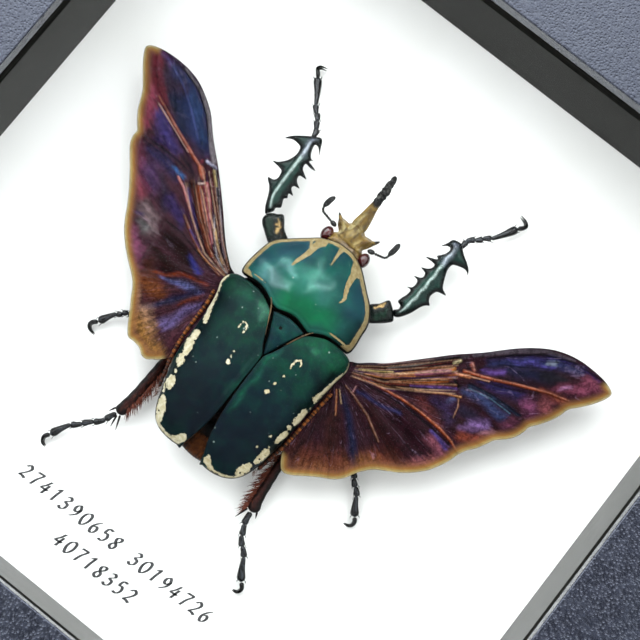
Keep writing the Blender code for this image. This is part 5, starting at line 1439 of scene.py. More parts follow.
        ([(32.6, 14.2, 0.08), (32.9, 15.6, 0.08)], (40, 26, 20), 0.1, -0.05),
        ([(34.6, 12, 0.36), (36, 11.5, 0.3)], (16, 10, 14), 0.25, -0.2),
        ([(35.4, 17, 0.4), (36.6, 16.2, 0.3)], (158, 86, 72), 0.3, 0.15)]}


def lit_vein(stroke, tone, soft):
    """A raised vein in three strokes: its shaded side, its body and a bright line towards the window."""
    if len(stroke) < 2:
        return [(stroke, tone, soft)]
    points = np.array(stroke)
    along = np.gradient(points[:, :2], axis=0)
    along = unit(along)
    toward = np.stack((-along[:, 1], along[:, 0]), axis=1)
    toward *= np.where(toward @ np.array(WINDOW_WAY) < 0.0, -1.0, 1.0)[:, None]
    wide = points[:, 2:3]
    shaded = np.column_stack((points[:, :2] - toward * (wide + 0.06), wide * 0.4 + 0.03))
    bright = np.column_stack((points[:, :2] + toward * wide * 0.4, wide * 0.22 + 0.02))
    dim = tuple(0.2 * part for part in tone)
    light = tuple(0.58 * part + 0.42 * white for part, white in zip(tone, (255, 238, 226)))
    return [(shaded.tolist(), dim, soft), (stroke, tone, soft), (bright.tolist(), light, min(soft, 0.12))]


COSTAL_GUIDES = {
    "left": ([(-17, 0.9), (-22, 5.3), (-28, 11.2), (-33.2, 16.2)],
             [(-17, -1.3), (-24, -0.2), (-31, 4.2), (-36.4, 8.8)]),
    "right": ([(16.6, 1.7), (21, 5.3), (27, 10.9), (32.4, 16.4)],
              [(17, -1), (24, 1), (31, 5.4), (36.8, 9.4)])}
COSTAL_TONES = [(20, 14, 16), (188, 142, 112), (112, 48, 34), (26, 16, 22), (206, 168, 138),
                (84, 40, 62), (60, 44, 84)]


def costal_lines(side, count=22):
    """Thin dark and bright lines that bunch together towards the root."""
    chance = np.random.default_rng(71 if side == "left" else 73)
    first, second = (np.array(guide) for guide in COSTAL_GUIDES[side])
    lines = []
    for k in range(count):
        share = np.clip((k + chance.uniform(-0.3, 0.3)) / (count - 1.0), 0.0, 1.0)
        middle = first * (1.0 - share) + second * share + chance.uniform(-0.1, 0.1, first.shape)
        width = np.array((0.05, 0.08, 0.09, 0.05)) * chance.uniform(0.7, 1.5)
        lines.append((np.column_stack((middle, width)).tolist(), COSTAL_TONES[k % len(COSTAL_TONES)], 0.12))
    return lines


def make_wing(side, material):
    """One spread hind wing: a thin pleated membrane with its veins standing up from it."""
    outline = smooth_line(WING_OUTLINE[side], 0.4, closed=True)
    root = np.array(WING_ROOT[side])
    sign = -1.0 if side == "left" else 1.0

    def polar(plan):
        away = (plan - root) * (sign, 1.0)
        return np.arctan2(away[:, 1], away[:, 0]), np.linalg.norm(away, axis=1)

    def surface(plan, depth):
        fan, reach = polar(plan)
        pleats = 0.16 * np.sin(fan * 17.0) + 0.1 * np.sin(fan * 31.0 + 1.3 * sign)
        waves = 0.1 * np.sin(reach * 0.5 + 4.0 * fan) + 0.05 * np.sin(plan[:, 0] * 1.3 + plan[:, 1] * 0.7)
        lift = np.zeros(len(plan))
        for stroke, _, soft, high in WING_VEINS[side]:
            lift += high * smoothstep(-soft, soft * 0.6, stroke_distance(plan, stroke))
        calm = smoothstep(2.0, 9.0, reach) * smoothstep(0.0, 1.4, depth)
        tip = smoothstep(38.0, 58.0, np.abs(plan[:, 0]))
        return WING_HEIGHT + calm * (pleats + waves) + lift - 0.5 * tip * smoothstep(3.0, 0.0, depth)

    def top(plan, depth):
        return surface(plan, depth) + 0.06 * np.minimum(depth, 0.3) / 0.3

    def low(plan, depth):
        return surface(plan, depth) - 0.06 * np.minimum(depth, 0.3) / 0.3

    shape = shell(outline, 0.215, top, low, (0.12,))
    flat = shape.points[:, :2]
    fan, reach = polar(flat)
    rear = [(x, y, 0.0) for x, y in WING_REAR[side]]
    trail = smoothstep(-3.4, -1.6, stroke_distance(flat, rear))
    shape.values.update(fan=fan, reach=reach, trail=trail)
    chance = np.random.default_rng(31 if sign > 0 else 37)
    streaks = np.interp(fan, np.linspace(-math.pi, math.pi, 900), chance.uniform(-1.0, 1.0, 900))
    smeared = root + (flat - root) * (1.0 + 0.5 * streaks / np.maximum(reach, 4.0))[:, None]
    fields = [(stroke, tone, soft * 1.35) for stroke, tone, soft in WING_FIELDS[side]]
    colours = paint(wobble(smeared, 0.16, 4.5, 33), WING_BASE[side], fields)
    veins = costal_lines(side)
    for stroke, tone, soft, high in WING_VEINS[side]:
        veins += lit_vein(stroke, tone, soft) if high >= 0.1 and max(tone) > 120 else [(stroke, tone, soft)]
    colours = paint(flat, colours, veins + costal_lines(side, 13))
    make_piece("wing_" + side, shape, material, ("hind_wing_" + side,), colours)


SHIN_FRONT = {
    "left": [
        (-19.3, 15.6), (-20.3, 16.8), (-21.4, 19.2), (-22.4, 20.8), (-23.9, 22.2), (-22.6, 22.6),
        (-22.1, 23.5),
        (-22.4, 25), (-23.2, 25.4), (-25.3, 25.7), (-24.4, 26.2), (-23.4, 27.2), (-22.7, 28.3),
        (-22.2, 30),
        (-22.4, 31.4), (-23, 32), (-24.8, 32.1), (-26.4, 31.3), (-25.6, 32.6), (-24.2, 33.8), (-22.5, 35),
        (-21.2, 35.8), (-20.3, 36.2), (-19.6, 35.8), (-18.9, 34.4), (-18.2, 33), (-18.8, 33.6),
        (-19.5, 34.2),
        (-20.3, 34.2), (-20.2, 33.2), (-19.7, 32), (-19, 31.2), (-18.5, 31.3), (-19, 30.5), (-18, 30.2),
        (-16.7, 29.7), (-18, 29.5), (-19.3, 29.6), (-19.1, 28.4), (-18.3, 27.8), (-17.1, 27),
        (-18.6, 26.8),
        (-18.7, 26), (-18.1, 25.2), (-17, 24.5), (-18.2, 24.2), (-18.3, 23.4), (-17.1, 22.4),
        (-18.1, 22.2),
        (-17.7, 21.2), (-18.2, 20.6), (-17.5, 18.8), (-18.3, 18), (-18.2, 17.2), (-18.8, 16.2)],
    "right": [
        (16.3, 15.3), (17.3, 16), (18.5, 18), (19.4, 20.4), (20.1, 21.4), (20.7, 21.9), (20, 22.6),
        (19.6, 23.6), (19.8, 24.6), (20.3, 25.3), (22.1, 25.8), (20.8, 26.5), (20.1, 27.6), (19.5, 29),
        (19, 30.5), (19.1, 31.8), (19.8, 32.3), (21.5, 32.8), (22.6, 32.6), (23.1, 32.1), (22.6, 33.2),
        (21.4, 34.2), (19.8, 35.2), (18.6, 36.2), (17.8, 36.8), (16.6, 36.7), (15.8, 36.3), (15.4, 35.2),
        (14.7, 33.7), (15.6, 34.4), (16.4, 34.6), (16.7, 34), (16.4, 33), (15.9, 32.2), (15.3, 31.4),
        (15.8, 30.9), (13.6, 29.8), (15.4, 29.7), (16.1, 29.5), (16, 28.6), (15.3, 27.9), (14.2, 27.3),
        (15.5, 26.9), (15.8, 26), (15.3, 25.4), (14.1, 24.9), (15.2, 24.6), (15.5, 23.8), (15.3, 22.7),
        (14.4, 22.1), (15.4, 22), (15.4, 20.8), (15, 19.6), (14.8, 18.4), (15.7, 18), (15.9, 17.2),
        (15.2, 16.3), (15.6, 15.7)]}
SHIN_RIDGE = {
    "left": [(-19.2, 17.2, 0.2), (-20.3, 19.6, 0.34), (-20.7, 23, 0.36), (-20.8, 27, 0.36),
             (-20.9, 30.5, 0.42),
             (-21.1, 33.6, 0.4)],
    "right": [(16.7, 16.8, 0.2), (17.2, 19.4, 0.34), (17.5, 23, 0.36), (17.6, 27, 0.4), (17.4, 31, 0.46),
              (17.2, 34.8, 0.4)]}
THIGH_FRONT = {
    "left": [(-11.6, 12.2), (-12, 14.2), (-13, 14.9), (-14, 15.6), (-15.9, 17.8), (-17.2, 17.2),
             (-18.6, 16.4),
             (-19.2, 15.2), (-18.8, 13.8), (-17, 12.4), (-15.2, 11.2), (-13.4, 10.6)],
    "right": [(10.2, 12.2), (10.5, 14.1), (12, 15.6), (13.2, 17.4), (14.5, 16.8), (15.6, 15.9),
              (16.4, 14.9),
              (16.6, 14.2), (15.6, 13), (14.2, 11.8), (13, 10.9), (11.8, 10.6)]}
THIGH_PATCH = {
    "left": [(-16.0, 16.2, 0.2), (-15.3, 15.2, 0.42), (-14.6, 14.0, 0.3)],
    "right": [(12.9, 16.2, 0.25), (12.5, 15.2, 0.42), (11.9, 14.2, 0.28)]}


def make_front_leg(side, material):
    """Front thigh and its flat toothed shin."""
    outline = smooth_line(SHIN_FRONT[side], 0.22, closed=True)
    ridge = SHIN_RIDGE[side]
    spine = [(x, y, w * 0.6) for x, y, w in ridge]
    furrow = [(x - 0.9, y, 0.1) for x, y, _ in ridge]

    def top(plan, depth):
        crest = smoothstep(-1.3, 0.25, stroke_distance(plan, spine))
        groove = 0.14 * smoothstep(-0.18, 0.0, stroke_distance(plan, furrow))
        return SHIN_EDGE + 0.95 * roll(depth, 1.5) + 0.42 * crest * roll(depth, 0.6) - groove

    shape = shell(outline, 0.2, top, lambda _, depth: SHIN_EDGE - 0.9 * roll(depth, 1.3), (0.1, 0.22))
    flat = shape.points[:, :2]
    sign = -1.0 if side == "left" else 1.0
    upper = [(x, y, w) for x, y, w in ridge if y > 29.0]
    # The pale strokes along the ridge are painted highlights.
    layers = [
        ([(x + 1.2 * sign, y, w) for x, y, w in ridge], (30, 56, 52), 0.7),
        ([(x - 0.9 * sign, y, w * 0.7) for x, y, w in ridge], (44, 84, 74), 0.5),
        ([(x - 1.7 * sign, y, 0.3) for x, y, _ in ridge], (12, 24, 22), 0.7),
        ([(x, y, w * 0.6) for x, y, w in ridge], (204, 226, 220), 0.34),
        (upper + [(upper[-1][0], upper[-1][1] + 1.0, 0.6)], (142, 148, 166), 1.1),
        ([(x, y, w * 0.3) for x, y, w in upper], (214, 224, 236), 0.3)]
    colours = paint(wobble(flat, 0.07, 2.4, 41), (30, 62, 54), layers)
    shade(colours, smoothstep(1.15, 0.4, shape.values["edge"]) * 0.96, (10, 13, 14))
    make_piece("front_shin_" + side, shape, material, ("tibia_front_" + side,), colours)

    thigh = smooth_line(THIGH_FRONT[side], 0.25, closed=True)

    def thigh_top(plan, depth):
        return THIGH_EDGE + 1.45 * roll(depth, 1.9) + 0.05 * np.sin(plan[:, 0] * 3.0 + plan[:, 1] * 4.0)

    shape = shell(thigh, 0.24, thigh_top, lambda _, depth: THIGH_EDGE - 1.2 * roll(depth, 1.9), (0.12, 0.3))
    flat = shape.points[:, :2]
    layers = [
        ([(x + 1.4 * sign, y - 1.6, 0.4) for x, y, _ in THIGH_PATCH[side]], (30, 66, 50), 0.8),
        (THIGH_PATCH[side], (214, 178, 116), 0.18),
        ([(x - 1.0 * sign, y - 0.2, 0.12) for x, y, _ in THIGH_PATCH[side]], (70, 46, 30), 0.3)]
    colours = paint(wobble(flat, 0.15, 1.5, 43), (9, 22, 18), layers)
    shade(colours, smoothstep(0.7, 0.1, shape.values["edge"]), (12, 14, 14))
    make_piece("front_thigh_" + side, shape, material, ("femur_front_" + side,), colours)


LEG_ROUTES = {
    "femur_mid_left": [(-14.6, -4.4, 3, 1.2, 0.9), (-17, -6, 3.4, 1.8, 1.4), (-19.6, -7.7, 3.8, 1.2, 1)],
    "femur_mid_right": [(14.4, -3.2, 3, 1.2, 0.9), (16.6, -4.2, 3.4, 1.8, 1.4), (19, -5.5, 3.8, 1.2, 1)],
    "femur_hind_left": [(-13.4, -15.6, 2.6, 1, 0.9), (-14.6, -17.8, 3.2, 1.3, 1.2),
                        (-15.8, -20.2, 3.6, 1.1, 0.9)],
    "femur_hind_right": [(13.4, -15.6, 2.6, 1, 0.9), (14.6, -17.8, 3.2, 1.3, 1.2),
                         (16, -20.4, 3.6, 1.1, 0.9)],
    "tibia_mid_left": [(-20.1, -7.9, 4, 0.7, 0.6), (-21.6, -10, 4, 0.9, 0.75),
                       (-24, -13.4, 3.8, 1.1, 0.85),
                       (-26.2, -16.4, 3.6, 1.3, 0.9)],
    "tibia_mid_right": [(19.6, -5.9, 4, 0.7, 0.6), (21.6, -7.8, 4, 0.9, 0.75),
                        (24.6, -10.6, 3.8, 1.1, 0.85),
                        (27.2, -13, 3.6, 1.3, 0.9)],
    "tibia_hind_left": [(-16, -20.8, 3.6, 0.9, 0.8), (-16.05, -24, 3.7, 1.1, 0.9),
                        (-16.25, -28, 3.7, 1.02, 0.9),
                        (-16.4, -32, 3.7, 1.05, 0.9), (-16.7, -35.4, 3.6, 1.2, 0.95),
                        (-17.05, -37.4, 3.5, 1.35, 0.95)],
    "tibia_hind_right": [(16.2, -21, 3.6, 0.9, 0.8), (16.6, -24.6, 3.7, 1, 0.9),
                         (17, -28.4, 3.7, 1.05, 0.9),
                         (17.5, -32.4, 3.7, 1.1, 0.9), (18, -34.8, 3.6, 1.3, 0.95),
                         (18.2, -36, 3.5, 1.4, 0.95)]}
SPURS = {
    "tibia_mid_left": [((-26.6, -16.8, 3.5), (-27, -19, 3)), ((-25.6, -17.2, 3.6), (-25.4, -19, 3))],
    "tibia_mid_right": [((27.6, -13.4, 3.5), (28, -15.4, 3)), ((26.8, -13.9, 3.6), (26.8, -15.6, 3))],
    "tibia_hind_left": [((-16.3, -37.4, 3.6), (-15.1, -40.5, 3)), ((-16.9, -37.8, 3.3),
                         (-16.5, -40.5, 2.7)),
                        ((-18, -36.6, 3.5), (-18.8, -38.2, 3.4))],
    "tibia_hind_right": [((17.1, -35.9, 3.6), (16.1, -38.9, 3)), ((17.8, -36.3, 3.3), (17.8, -38.7, 2.7)),
                         ((19.1, -35.2, 3.5), (19.8, -36.6, 3.4))]}


def make_back_legs(brown, black):
    """Thighs and shins of the middle and hind legs."""
    def ridged(share, angle):
        return 1.0 + 0.07 * np.cos(angle * 4.0 + 0.6) + 0.03 * np.sin(share * 40.0 + angle * 3.0)

    for name, route in LEG_ROUTES.items():
        shapes = [tube(route, 0.22, 22, ridged)]
        for start, end in SPURS.get(name, ()):
            a, b = np.array(start), np.array(end)
            spur = [(*a, 0.24, 0.22), (*(a + (b - a) * 0.5), 0.19, 0.17), (*b, 0.04, 0.04)]
            shapes.append(tube(spur, 0.15, 8))
        shape = join(shapes)
        flat = shape.points[:, :2]
        line = [(x, y, w * 0.35) for x, y, _, w, _ in route]
        outer = -1.0 if name.endswith("left") else 1.0
        if name.startswith("tibia_hind"):
            # The thin pale line along the inner side of the hind shins is a painted highlight.
            layers = [(line, (80, 28, 22), 0.45),
                      ([(x + outer * 0.75, y, 0.2) for x, y, _ in line], (14, 13, 13), 0.35),
                      ([(x - outer * 0.45, y, 0.06) for x, y, _ in line[1:]], (134, 74, 54), 0.16),
                      ([(route[-1][0], route[-1][1], 0.9)], (24, 20, 20), 0.7)]
            base = (30, 12, 11)
        else:
            layers = [(line, (52, 40, 38), 0.5)]
            base = (26, 22, 22)
        colours = paint(wobble(flat, 0.12, 1.6, 47), base, layers)
        body = name.startswith(("femur", "tibia_hind"))
        make_piece(name.replace("femur", "thigh").replace("tibia", "shin"), shape, brown if body else black,
                   (name,), colours)


FEET = {
    "front_left": [(-22, 36, 4.6), (-22.3, 37.4, 4.2), (-23.5, 38.9, 3.8), (-24.7, 40.3, 3.4),
                   (-26.1, 41.8, 3), (-29.7, 47, 2)],
    "front_right": [(18.2, 36.8, 4.6), (18.3, 38.1, 4.2), (19.6, 39.6, 3.8), (20.8, 40.9, 3.4),
                    (22.2, 42.2, 3), (25.2, 47.6, 2)],
    "mid_left": [(-26.8, -17.2, 3.4), (-27.9, -18.6, 3.1), (-28.9, -19.5, 2.8), (-29.9, -20.2, 2.5),
                 (-30.9, -21.1, 2.2), (-32.9, -24.6, 1.6)],
    "mid_right": [(27.9, -13.9, 3.4), (29.5, -15.7, 3.1), (30.9, -17, 2.8), (32.2, -18.2, 2.5),
                  (33.6, -19.6, 2.2), (35.9, -23.1, 1.6)],
    "hind_left": [(-17.5, -38.4, 3.2), (-18.2, -40.1, 3), (-19.9, -42, 2.7), (-21.6, -43.8, 2.4),
                  (-23.4, -45.5, 2.2), (-25.5, -49.6, 1.6)],
    "hind_right": [(18.4, -37, 3.2), (18.6, -39, 3), (19.7, -41.1, 2.7), (21.2, -42.8, 2.4),
                   (22.9, -44.4, 2.2), (25.5, -48.6, 1.6)]}
CLAWS = {
    "front_left": [(-29.7, 47.2), (-30.5, 48.1), (-31.1, 48.8), (-30.7, 49.7), (-29.3, 50.2)],
    "front_right": [(25.3, 47.8), (26.1, 48.5), (26.5, 49.4), (25.7, 50.3), (24, 50.8)],
    "mid_left": [(-33, -24.8), (-33.9, -25.6), (-34.1, -26.5), (-33.4, -27.2), (-32, -27.5)],
    "mid_right": [(36, -23.3), (36.6, -24.1), (36.6, -25), (36, -25.6), (34.9, -25.8)],
    "hind_left": [(-25.6, -49.8), (-26.2, -50.6), (-26.3, -51.4), (-25.8, -52.2), (-24.9, -52.5)],
    "hind_right": [(25.7, -48.8), (26.5, -49.6), (26.6, -50.4), (26.1, -51.1), (25.1, -51.3)]}

# Along a claw: its height and half width
CLAW_DROP = (0.0, -0.05, -0.35, -0.7, -1.05)
CLAW_THICK = (0.5, 0.47, 0.38, 0.25, 0.06)


def make_feet(material):
    """Five flared segments, with spines at their ends, and a pair of hooked claws on each foot."""
    chance = np.random.default_rng(5)
    for name, joints in FEET.items():
        shapes, roots, tips = [], [], []
        for i, (first, second) in enumerate(zip(joints[:-1], joints[1:])):
            a, b = np.array(first), np.array(second)
            along = (b - a) / np.linalg.norm(b - a)
            across = np.array((-along[1], along[0], 0.0))
            wide = 0.76 if i < 4 else 0.92
            thin = 0.48 if i < 4 else 0.46
            a = a - along * (0.9 if i == 0 else 0.1)
            bend = across * (0.12 if i % 2 else -0.12)
            stations = [(0.0, thin), (0.2, thin * 1.15), (0.5, (thin + wide) / 2.0), (0.82, wide),
                        (0.97, wide * 0.9), (1.04, wide * 0.5)]
            route = [(*(a + (b - a) * t + bend * math.sin(math.pi * t)), r, r * 0.82) for t, r in stations]
            shapes.append(tube(route, 0.14, 14, lambda share, angle: 1.0 + 0.05 * np.cos(angle * 5.0)))
            for sign in (-1.0, 1.0):
                for k in range(3):
                    root = b - along * 0.3 + across * sign * wide * 0.75 + (0.0, 0.0, 0.25 * (k - 1))
                    roots.append(root)
                    reach = along * chance.uniform(0.5, 1.0)
                    spread = across * sign * chance.uniform(0.15, 0.5)
                    tips.append(root + reach + spread + (0.0, 0.0, chance.uniform(-0.3, 0.2)))
        start = np.array(joints[-1])
        for level, grow in ((0.34, 1.0), (-0.34, 0.9)):
            curve = np.array(CLAWS[name])
            middle = curve[0]
            points = []
            for (x, y), height, radius in zip((curve - middle) * grow + middle, CLAW_DROP, CLAW_THICK):
                points.append((x, y, max(start[2] + height + level, 0.3), radius, radius))
            shapes.append(tube(points, 0.12, 10))
        shapes.append(hairs(roots, tips, 0.06))
        shape = join(shapes)
        flat = shape.points[:, :2]
        line = [(x, y, 0.12) for x, y, _ in joints]
        # The pale line along the middle of each foot is a painted highlight.
        colours = paint(wobble(flat, 0.1, 1.2, 53), (10, 10, 12), [(line, (120, 126, 136), 0.2)])
        make_piece("foot_" + name, shape, material, ("tarsus_" + name,), colours)


def make_bristles(tawny, pink):
    """Fringes on the hind shins, along the flanks and on the tail."""
    chance = np.random.default_rng(8)
    for side, sign in (("left", -1.0), ("right", 1.0)):
        roots, tips = [], []
        for _ in range(FRINGE_HAIRS):
            share = chance.uniform(0.0, 1.0)
            y = -22.5 - 13.2 * share
            line = [-15.9, -15.2, -15.0] if sign < 0 else [17.0, 16.1, 15.6]
            x = np.interp(y, [-37.0, -30.0, -22.0], line)
            root = np.array((x - sign * chance.uniform(-0.25, 0.1), y, 3.7 + chance.uniform(-0.5, 0.6)))
            length = chance.uniform(1.5, 3.0)
            slant = chance.uniform(0.9, 1.35)
            roots.append(root)
            tips.append(root + (-sign * length * math.cos(slant) * 1.3, -length * math.sin(slant),
                                chance.uniform(-0.5, 0.5)))
        fringe = hairs(roots, tips, 0.1, 0.2)
        make_piece("shin_fringe_" + side, fringe, pink)
        roots, tips = [], []
        for _ in range(FLANK_HAIRS):
            y = chance.uniform(-29.5, -5.0)
            edge = np.interp(y, [-30.0, -24.0, -20.0, -16.0, -12.0, -8.0, -4.0],
                             [-12.0, -13.8, -15.1, -15.9, -16.1, -16.1, -15.8] if sign < 0
                             else [13.4, 14.5, 15.4, 15.7, 15.9, 15.9, 15.4])
            root = np.array((edge + chance.uniform(-0.3, 0.2), y, 8.5 + chance.uniform(-0.2, 0.3)))
            roots.append(root)
            tips.append(root + (sign * chance.uniform(0.2, 0.7), chance.uniform(-1.6, -0.6),
                                chance.uniform(-0.1, 0.5)))
        make_piece("flank_hair_" + side, hairs(roots, tips, 0.05), tawny)
    roots, tips = [], []
    for _ in range(TAIL_HAIRS):
        x = 1.2 + chance.normal(0.0, 1.1)
        y = chance.uniform(-33.6, -29.6)
        root = np.array((x, y, 10.2 - 0.35 * abs(y + 29.6) + chance.uniform(-0.3, 0.3)))
        roots.append(root)
        tips.append(root + (chance.uniform(-0.3, 0.3), chance.uniform(-1.5, -0.6),
                            chance.uniform(-0.1, 0.5)))
    make_piece("tail_hair", hairs(roots, tips, 0.05, 0.1), tawny)


def make_tail(material):
    """The end of the hind body, between the tips of the wing cases."""
    outline = smooth_line([(-1.6, -27.0), (0.6, -26.0), (3.0, -27.0), (3.9, -30.0), (3.4, -32.6),
                           (1.2, -34.0),
                           (-0.9, -32.8), (-1.7, -30.0)], 0.3, closed=True)

    def top(plan, depth):
        return TAIL_EDGE + 1.9 * roll(depth, 1.6) - 0.16 * np.clip(-28.0 - plan[:, 1], 0.0, 8.0)

    shape = shell(outline, 0.25, top, lambda _, depth: TAIL_EDGE - 1.5 * roll(depth, 1.5), (0.15,))
    flat = unseen(shape.points, CASE_PLANE)
    # The near-black stroke at the front of the plate is painted shade under the tips of the wing cases.
    layers = [([(1.0, -32.9, 0.8)], (150, 92, 50), 1.2), ([(0.6, -26.5, 2.2), (1.4, -28.4, 1.6)],
                (6, 5, 5), 1.0)]
    make_piece("tail_plate", shape, material, (), paint(flat, (84, 48, 28), layers))


# Label

DIGITS = {
    "0": [[(0.5, 1), (0.15, 0.8), (0.05, 0.4), (0.3, 0), (0.62, 0.1), (0.85, 0.5), (0.78, 0.9),
           (0.5, 1)]],
    "1": [[(0.2, 0.8), (0.55, 1), (0.45, 0.5), (0.4, 0)]],
    "2": [[(0.12, 0.78), (0.4, 1), (0.75, 0.85), (0.62, 0.55), (0.05, 0.05)], [(0.05, 0.05), (0.4, 0.1),
           (0.8, 0.02)]],
    "3": [[(0.15, 0.9), (0.5, 1), (0.72, 0.82), (0.3, 0.55), (0.7, 0.45), (0.68, 0.12), (0.3, -0.03),
           (0.02, 0.1)]],
    "4": [[(0.6, 1), (0.35, 0.62), (0.05, 0.32), (0.45, 0.32), (0.85, 0.34)], [(0.68, 0.72),
           (0.58, 0.35), (0.5, -0.05)]],
    "5": [[(0.8, 1), (0.3, 0.98), (0.2, 0.6), (0.55, 0.62), (0.75, 0.35), (0.5, 0.02), (0.05, 0.03)]],
    "6": [[(0.75, 1), (0.35, 0.75), (0.08, 0.35), (0.25, 0), (0.6, 0.08), (0.72, 0.38), (0.5, 0.55),
           (0.15, 0.4)]],
    "7": [[(0.1, 0.95), (0.45, 0.98), (0.85, 0.97), (0.5, 0.5), (0.3, -0.02)]],
    "8": [[(0.6, 0.98), (0.25, 0.85), (0.3, 0.6), (0.68, 0.32), (0.5, 0), (0.12, 0.1), (0.18, 0.35),
           (0.7, 0.7),
           (0.78, 0.92), (0.6, 0.98)]],
    "9": [[(0.78, 0.75), (0.5, 1), (0.18, 0.8), (0.25, 0.5), (0.6, 0.5), (0.8, 0.75), (0.7, 0.35),
           (0.2, -0.02)]]}
DIGIT_HIGH = 3.1
DIGIT_WIDE = 1.95
DIGIT_STEP = 2.72
NIB = (0.2, 0.14)
INK_HIGH = 0.05
# The numbers, and where each line of them begins
LABEL_LINES = (("2741390658 30194726", -25.8, -60.5), ("40718352", -11.0, -67.1))


def make_label(material):
    """Two lines of plain numbers on the board, written with a broad nib."""
    ribbons = []
    for text, left, base in LABEL_LINES:
        for place_on, sign in enumerate(text):
            for stroke in DIGITS.get(sign, ()):
                line = smooth_line([(x + 0.2 * y, y) for x, y in stroke], 0.08)
                line = line * (DIGIT_WIDE, DIGIT_HIGH) + (left + place_on * DIGIT_STEP, base)
                along = np.gradient(line, axis=0)
                along = unit(along)
                half = np.stack((-along[:, 1], along[:, 0]), axis=1) * 0.1
                facing = np.sign(half @ np.array(NIB))
                half += np.array(NIB) * np.where(facing == 0.0, 1.0, facing)[:, None]
                first, second = line + half, line - half
                count = len(line)
                points = np.vstack([np.column_stack((side, np.full(count, height)))
                                    for height in (INK_HIGH, 0.0) for side in (first, second)])
                faces = []
                for i in range(count - 1):
                    a, b, c, d = i, count + i, 2 * count + i, 3 * count + i
                    faces += [(a, a + 1, b + 1, b), (c, d, d + 1, c + 1),
                              (a, c, c + 1, a + 1), (b, b + 1, d + 1, d)]
                faces += [(0, count, 3 * count, 2 * count),
                          (count - 1, 3 * count - 1, 4 * count - 1, 2 * count - 1)]
                ribbons.append(Shape(points, faces))
    make_piece("printed_numbers", join(ribbons), material, smooth=False)


# Frame, light and camera

def dress_frame():
    """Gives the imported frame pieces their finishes."""
    rail = rail_material()
    along_x = wood_material("grey_wood_x", True)
    along_y = wood_material("grey_wood_y", False)
    zinc = zinc_material()
    chosen = {"glazing_pane": glass_material(), "mount_board": board_material(),
              "back_panel": panel_material()}
    for side in ("top", "bottom", "left", "right"):
        chosen["rail_" + side] = rail
        chosen["spacer_" + side] = along_x if side in ("top", "bottom") else along_y
    for name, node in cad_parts.items():
        if name.startswith(("back_tab", "hanger")):
            chosen[name] = zinc
    for name, material in chosen.items():
        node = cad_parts[name]
        for slot in node.material_slots:
            slot.material = material


def make_beetle():
    """All the beetle's pieces."""
    shield = shell_material("shield_shell", 0.5, 0.98, 0.3, SHIELD_DIM)
    case = shell_material("case_shell", 1.3, 0.4)
    leg_black = skin_material("black_leg", 0.22, 0.16, 0.0, 0.4, 1.3, 0.05, 0.3)
    leg_green = skin_material("green_leg", 0.55, 0.22, 0.2, 0.5, 1.2, 0.06, 0.22)
    brown = skin_material("brown_shell", 0.3, 0.36, 0.0, 0.4, 1.1, 0.07)
    ochre = skin_material("ochre_shell", 0.35, 0.24, 0.0, 0.4, 1.2, 0.12, 0.25)
    flank = skin_material("tawny_shell", 0.6, 0.4, 0.0, 0.6, 1.4, 0.05)
    make_thorax(shield)
    for side in ("left", "right"):
        make_wing_case(side, case)
        make_front_leg(side, leg_green)
    make_shield(case)
    make_rims(ochre)
    make_abdomen(brown)
    make_flanks(flank)
    make_tail(brown)
    make_head(ochre, eye_material())
    make_feelers(leg_black)
    membrane = wing_material()
    make_wing("left", membrane)
    make_wing("right", membrane)
    make_back_legs(brown, leg_black)
    make_feet(leg_black)
    make_bristles(hair_material("tawny_hair", (74, 38, 18), (124, 70, 32)),
                  hair_material("pink_hair", (72, 32, 24), (124, 70, 54)))


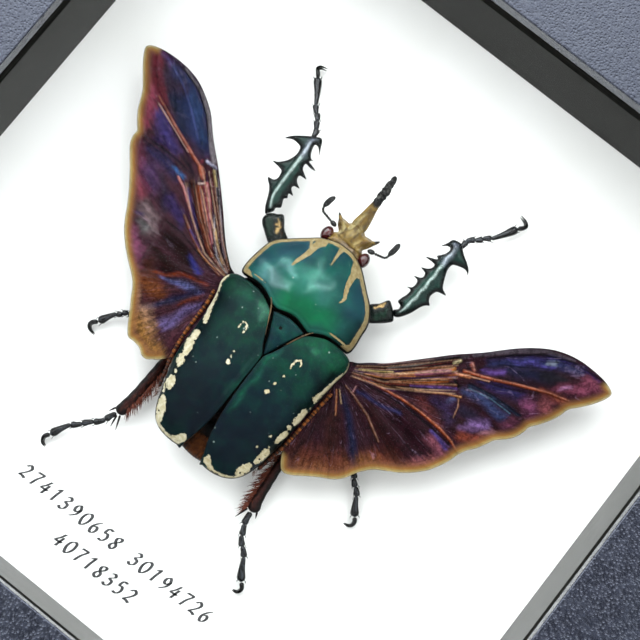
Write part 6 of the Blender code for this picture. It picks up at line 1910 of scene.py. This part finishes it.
def light_scene():
    """A wide window past the top left of the frame, under a sky that is dim overhead."""
    world = bpy.data.worlds.new("sky")
    world.use_nodes = True
    nodes, links = world.node_tree.nodes, world.node_tree.links
    place = nodes.new("ShaderNodeTexCoord")
    parts = nodes.new("ShaderNodeSeparateXYZ")
    level = nodes.new("ShaderNodeMapRange")
    level.interpolation_type = "SMOOTHSTEP"
    for socket, number in zip(level.inputs, (0.0, *SKY_TURN, SKY_LEVEL, SKY_ZENITH)):
        socket.default_value = number
    sky = nodes["Background"]
    sky.inputs["Color"].default_value = (0.97, 0.985, 1.0, 1.0)
    links.new(place.outputs["Generated"], parts.inputs[0])
    links.new(parts.outputs["Z"], level.inputs["Value"])
    toward = nodes.new("ShaderNodeVectorMath")
    toward.operation = "DOT_PRODUCT"
    toward.inputs[1].default_value = (*WINDOW_WAY, 0.0)
    links.new(place.outputs["Generated"], toward.inputs[0])
    share = nodes.new("ShaderNodeMapRange")
    for socket, number in zip(share.inputs, (0.0, *FAR_TURN, SKY_FAR, 1.0)):
        socket.default_value = number
    links.new(toward.outputs["Value"], share.inputs["Value"])
    strength = nodes.new("ShaderNodeMath")
    strength.operation = "MULTIPLY"
    links.new(level.outputs["Result"], strength.inputs[0])
    links.new(share.outputs["Result"], strength.inputs[1])
    links.new(strength.outputs[0], sky.inputs["Strength"])
    bpy.context.scene.world = world
    lamp = bpy.data.lights.new("window", "AREA")
    lamp.shape = "SQUARE"
    lamp.size = WINDOW_SIZE
    lamp.energy = WINDOW_POWER
    lamp.color = WINDOW_TINT
    window = bpy.data.objects.new("window", lamp)
    window.location = WINDOW_PLACE
    window.rotation_euler = (-Vector(WINDOW_PLACE)).to_track_quat("-Z", "Y").to_euler()
    bpy.context.scene.collection.objects.link(window)
    bpy.context.scene.view_settings.view_transform = "Standard"


def add_floor():
    """A pale table under the frame."""
    mesh = bpy.data.meshes.new("table_top")
    corners = [(x * TABLE_HALF, y * TABLE_HALF, -TABLE_DROP)
               for x, y in ((-1, -1), (1, -1), (1, 1), (-1, 1))]
    mesh.from_pydata(corners, [], [(0, 1, 2, 3)])
    mesh.materials.append(floor_material())
    floor = bpy.data.objects.new("table_top", mesh)
    bpy.context.scene.collection.objects.link(floor)


def add_camera():
    """The camera at the photograph's angle."""
    camera = bpy.data.cameras.new("camera")
    camera.lens = CAMERA_LENS
    camera.sensor_width = SENSOR
    thing = bpy.data.objects.new("camera", camera)
    x, y, z = CAMERA_MM
    thing.location = (x * MM, y * MM, z * MM + BOARD_TOP)
    thing.rotation_euler = tuple(math.radians(angle) for angle in CAMERA_TURN)
    bpy.context.scene.collection.objects.link(thing)
    bpy.context.scene.camera = thing


dress_frame()
make_beetle()
make_label(ink_material())
light_scene()
add_floor()
add_camera()
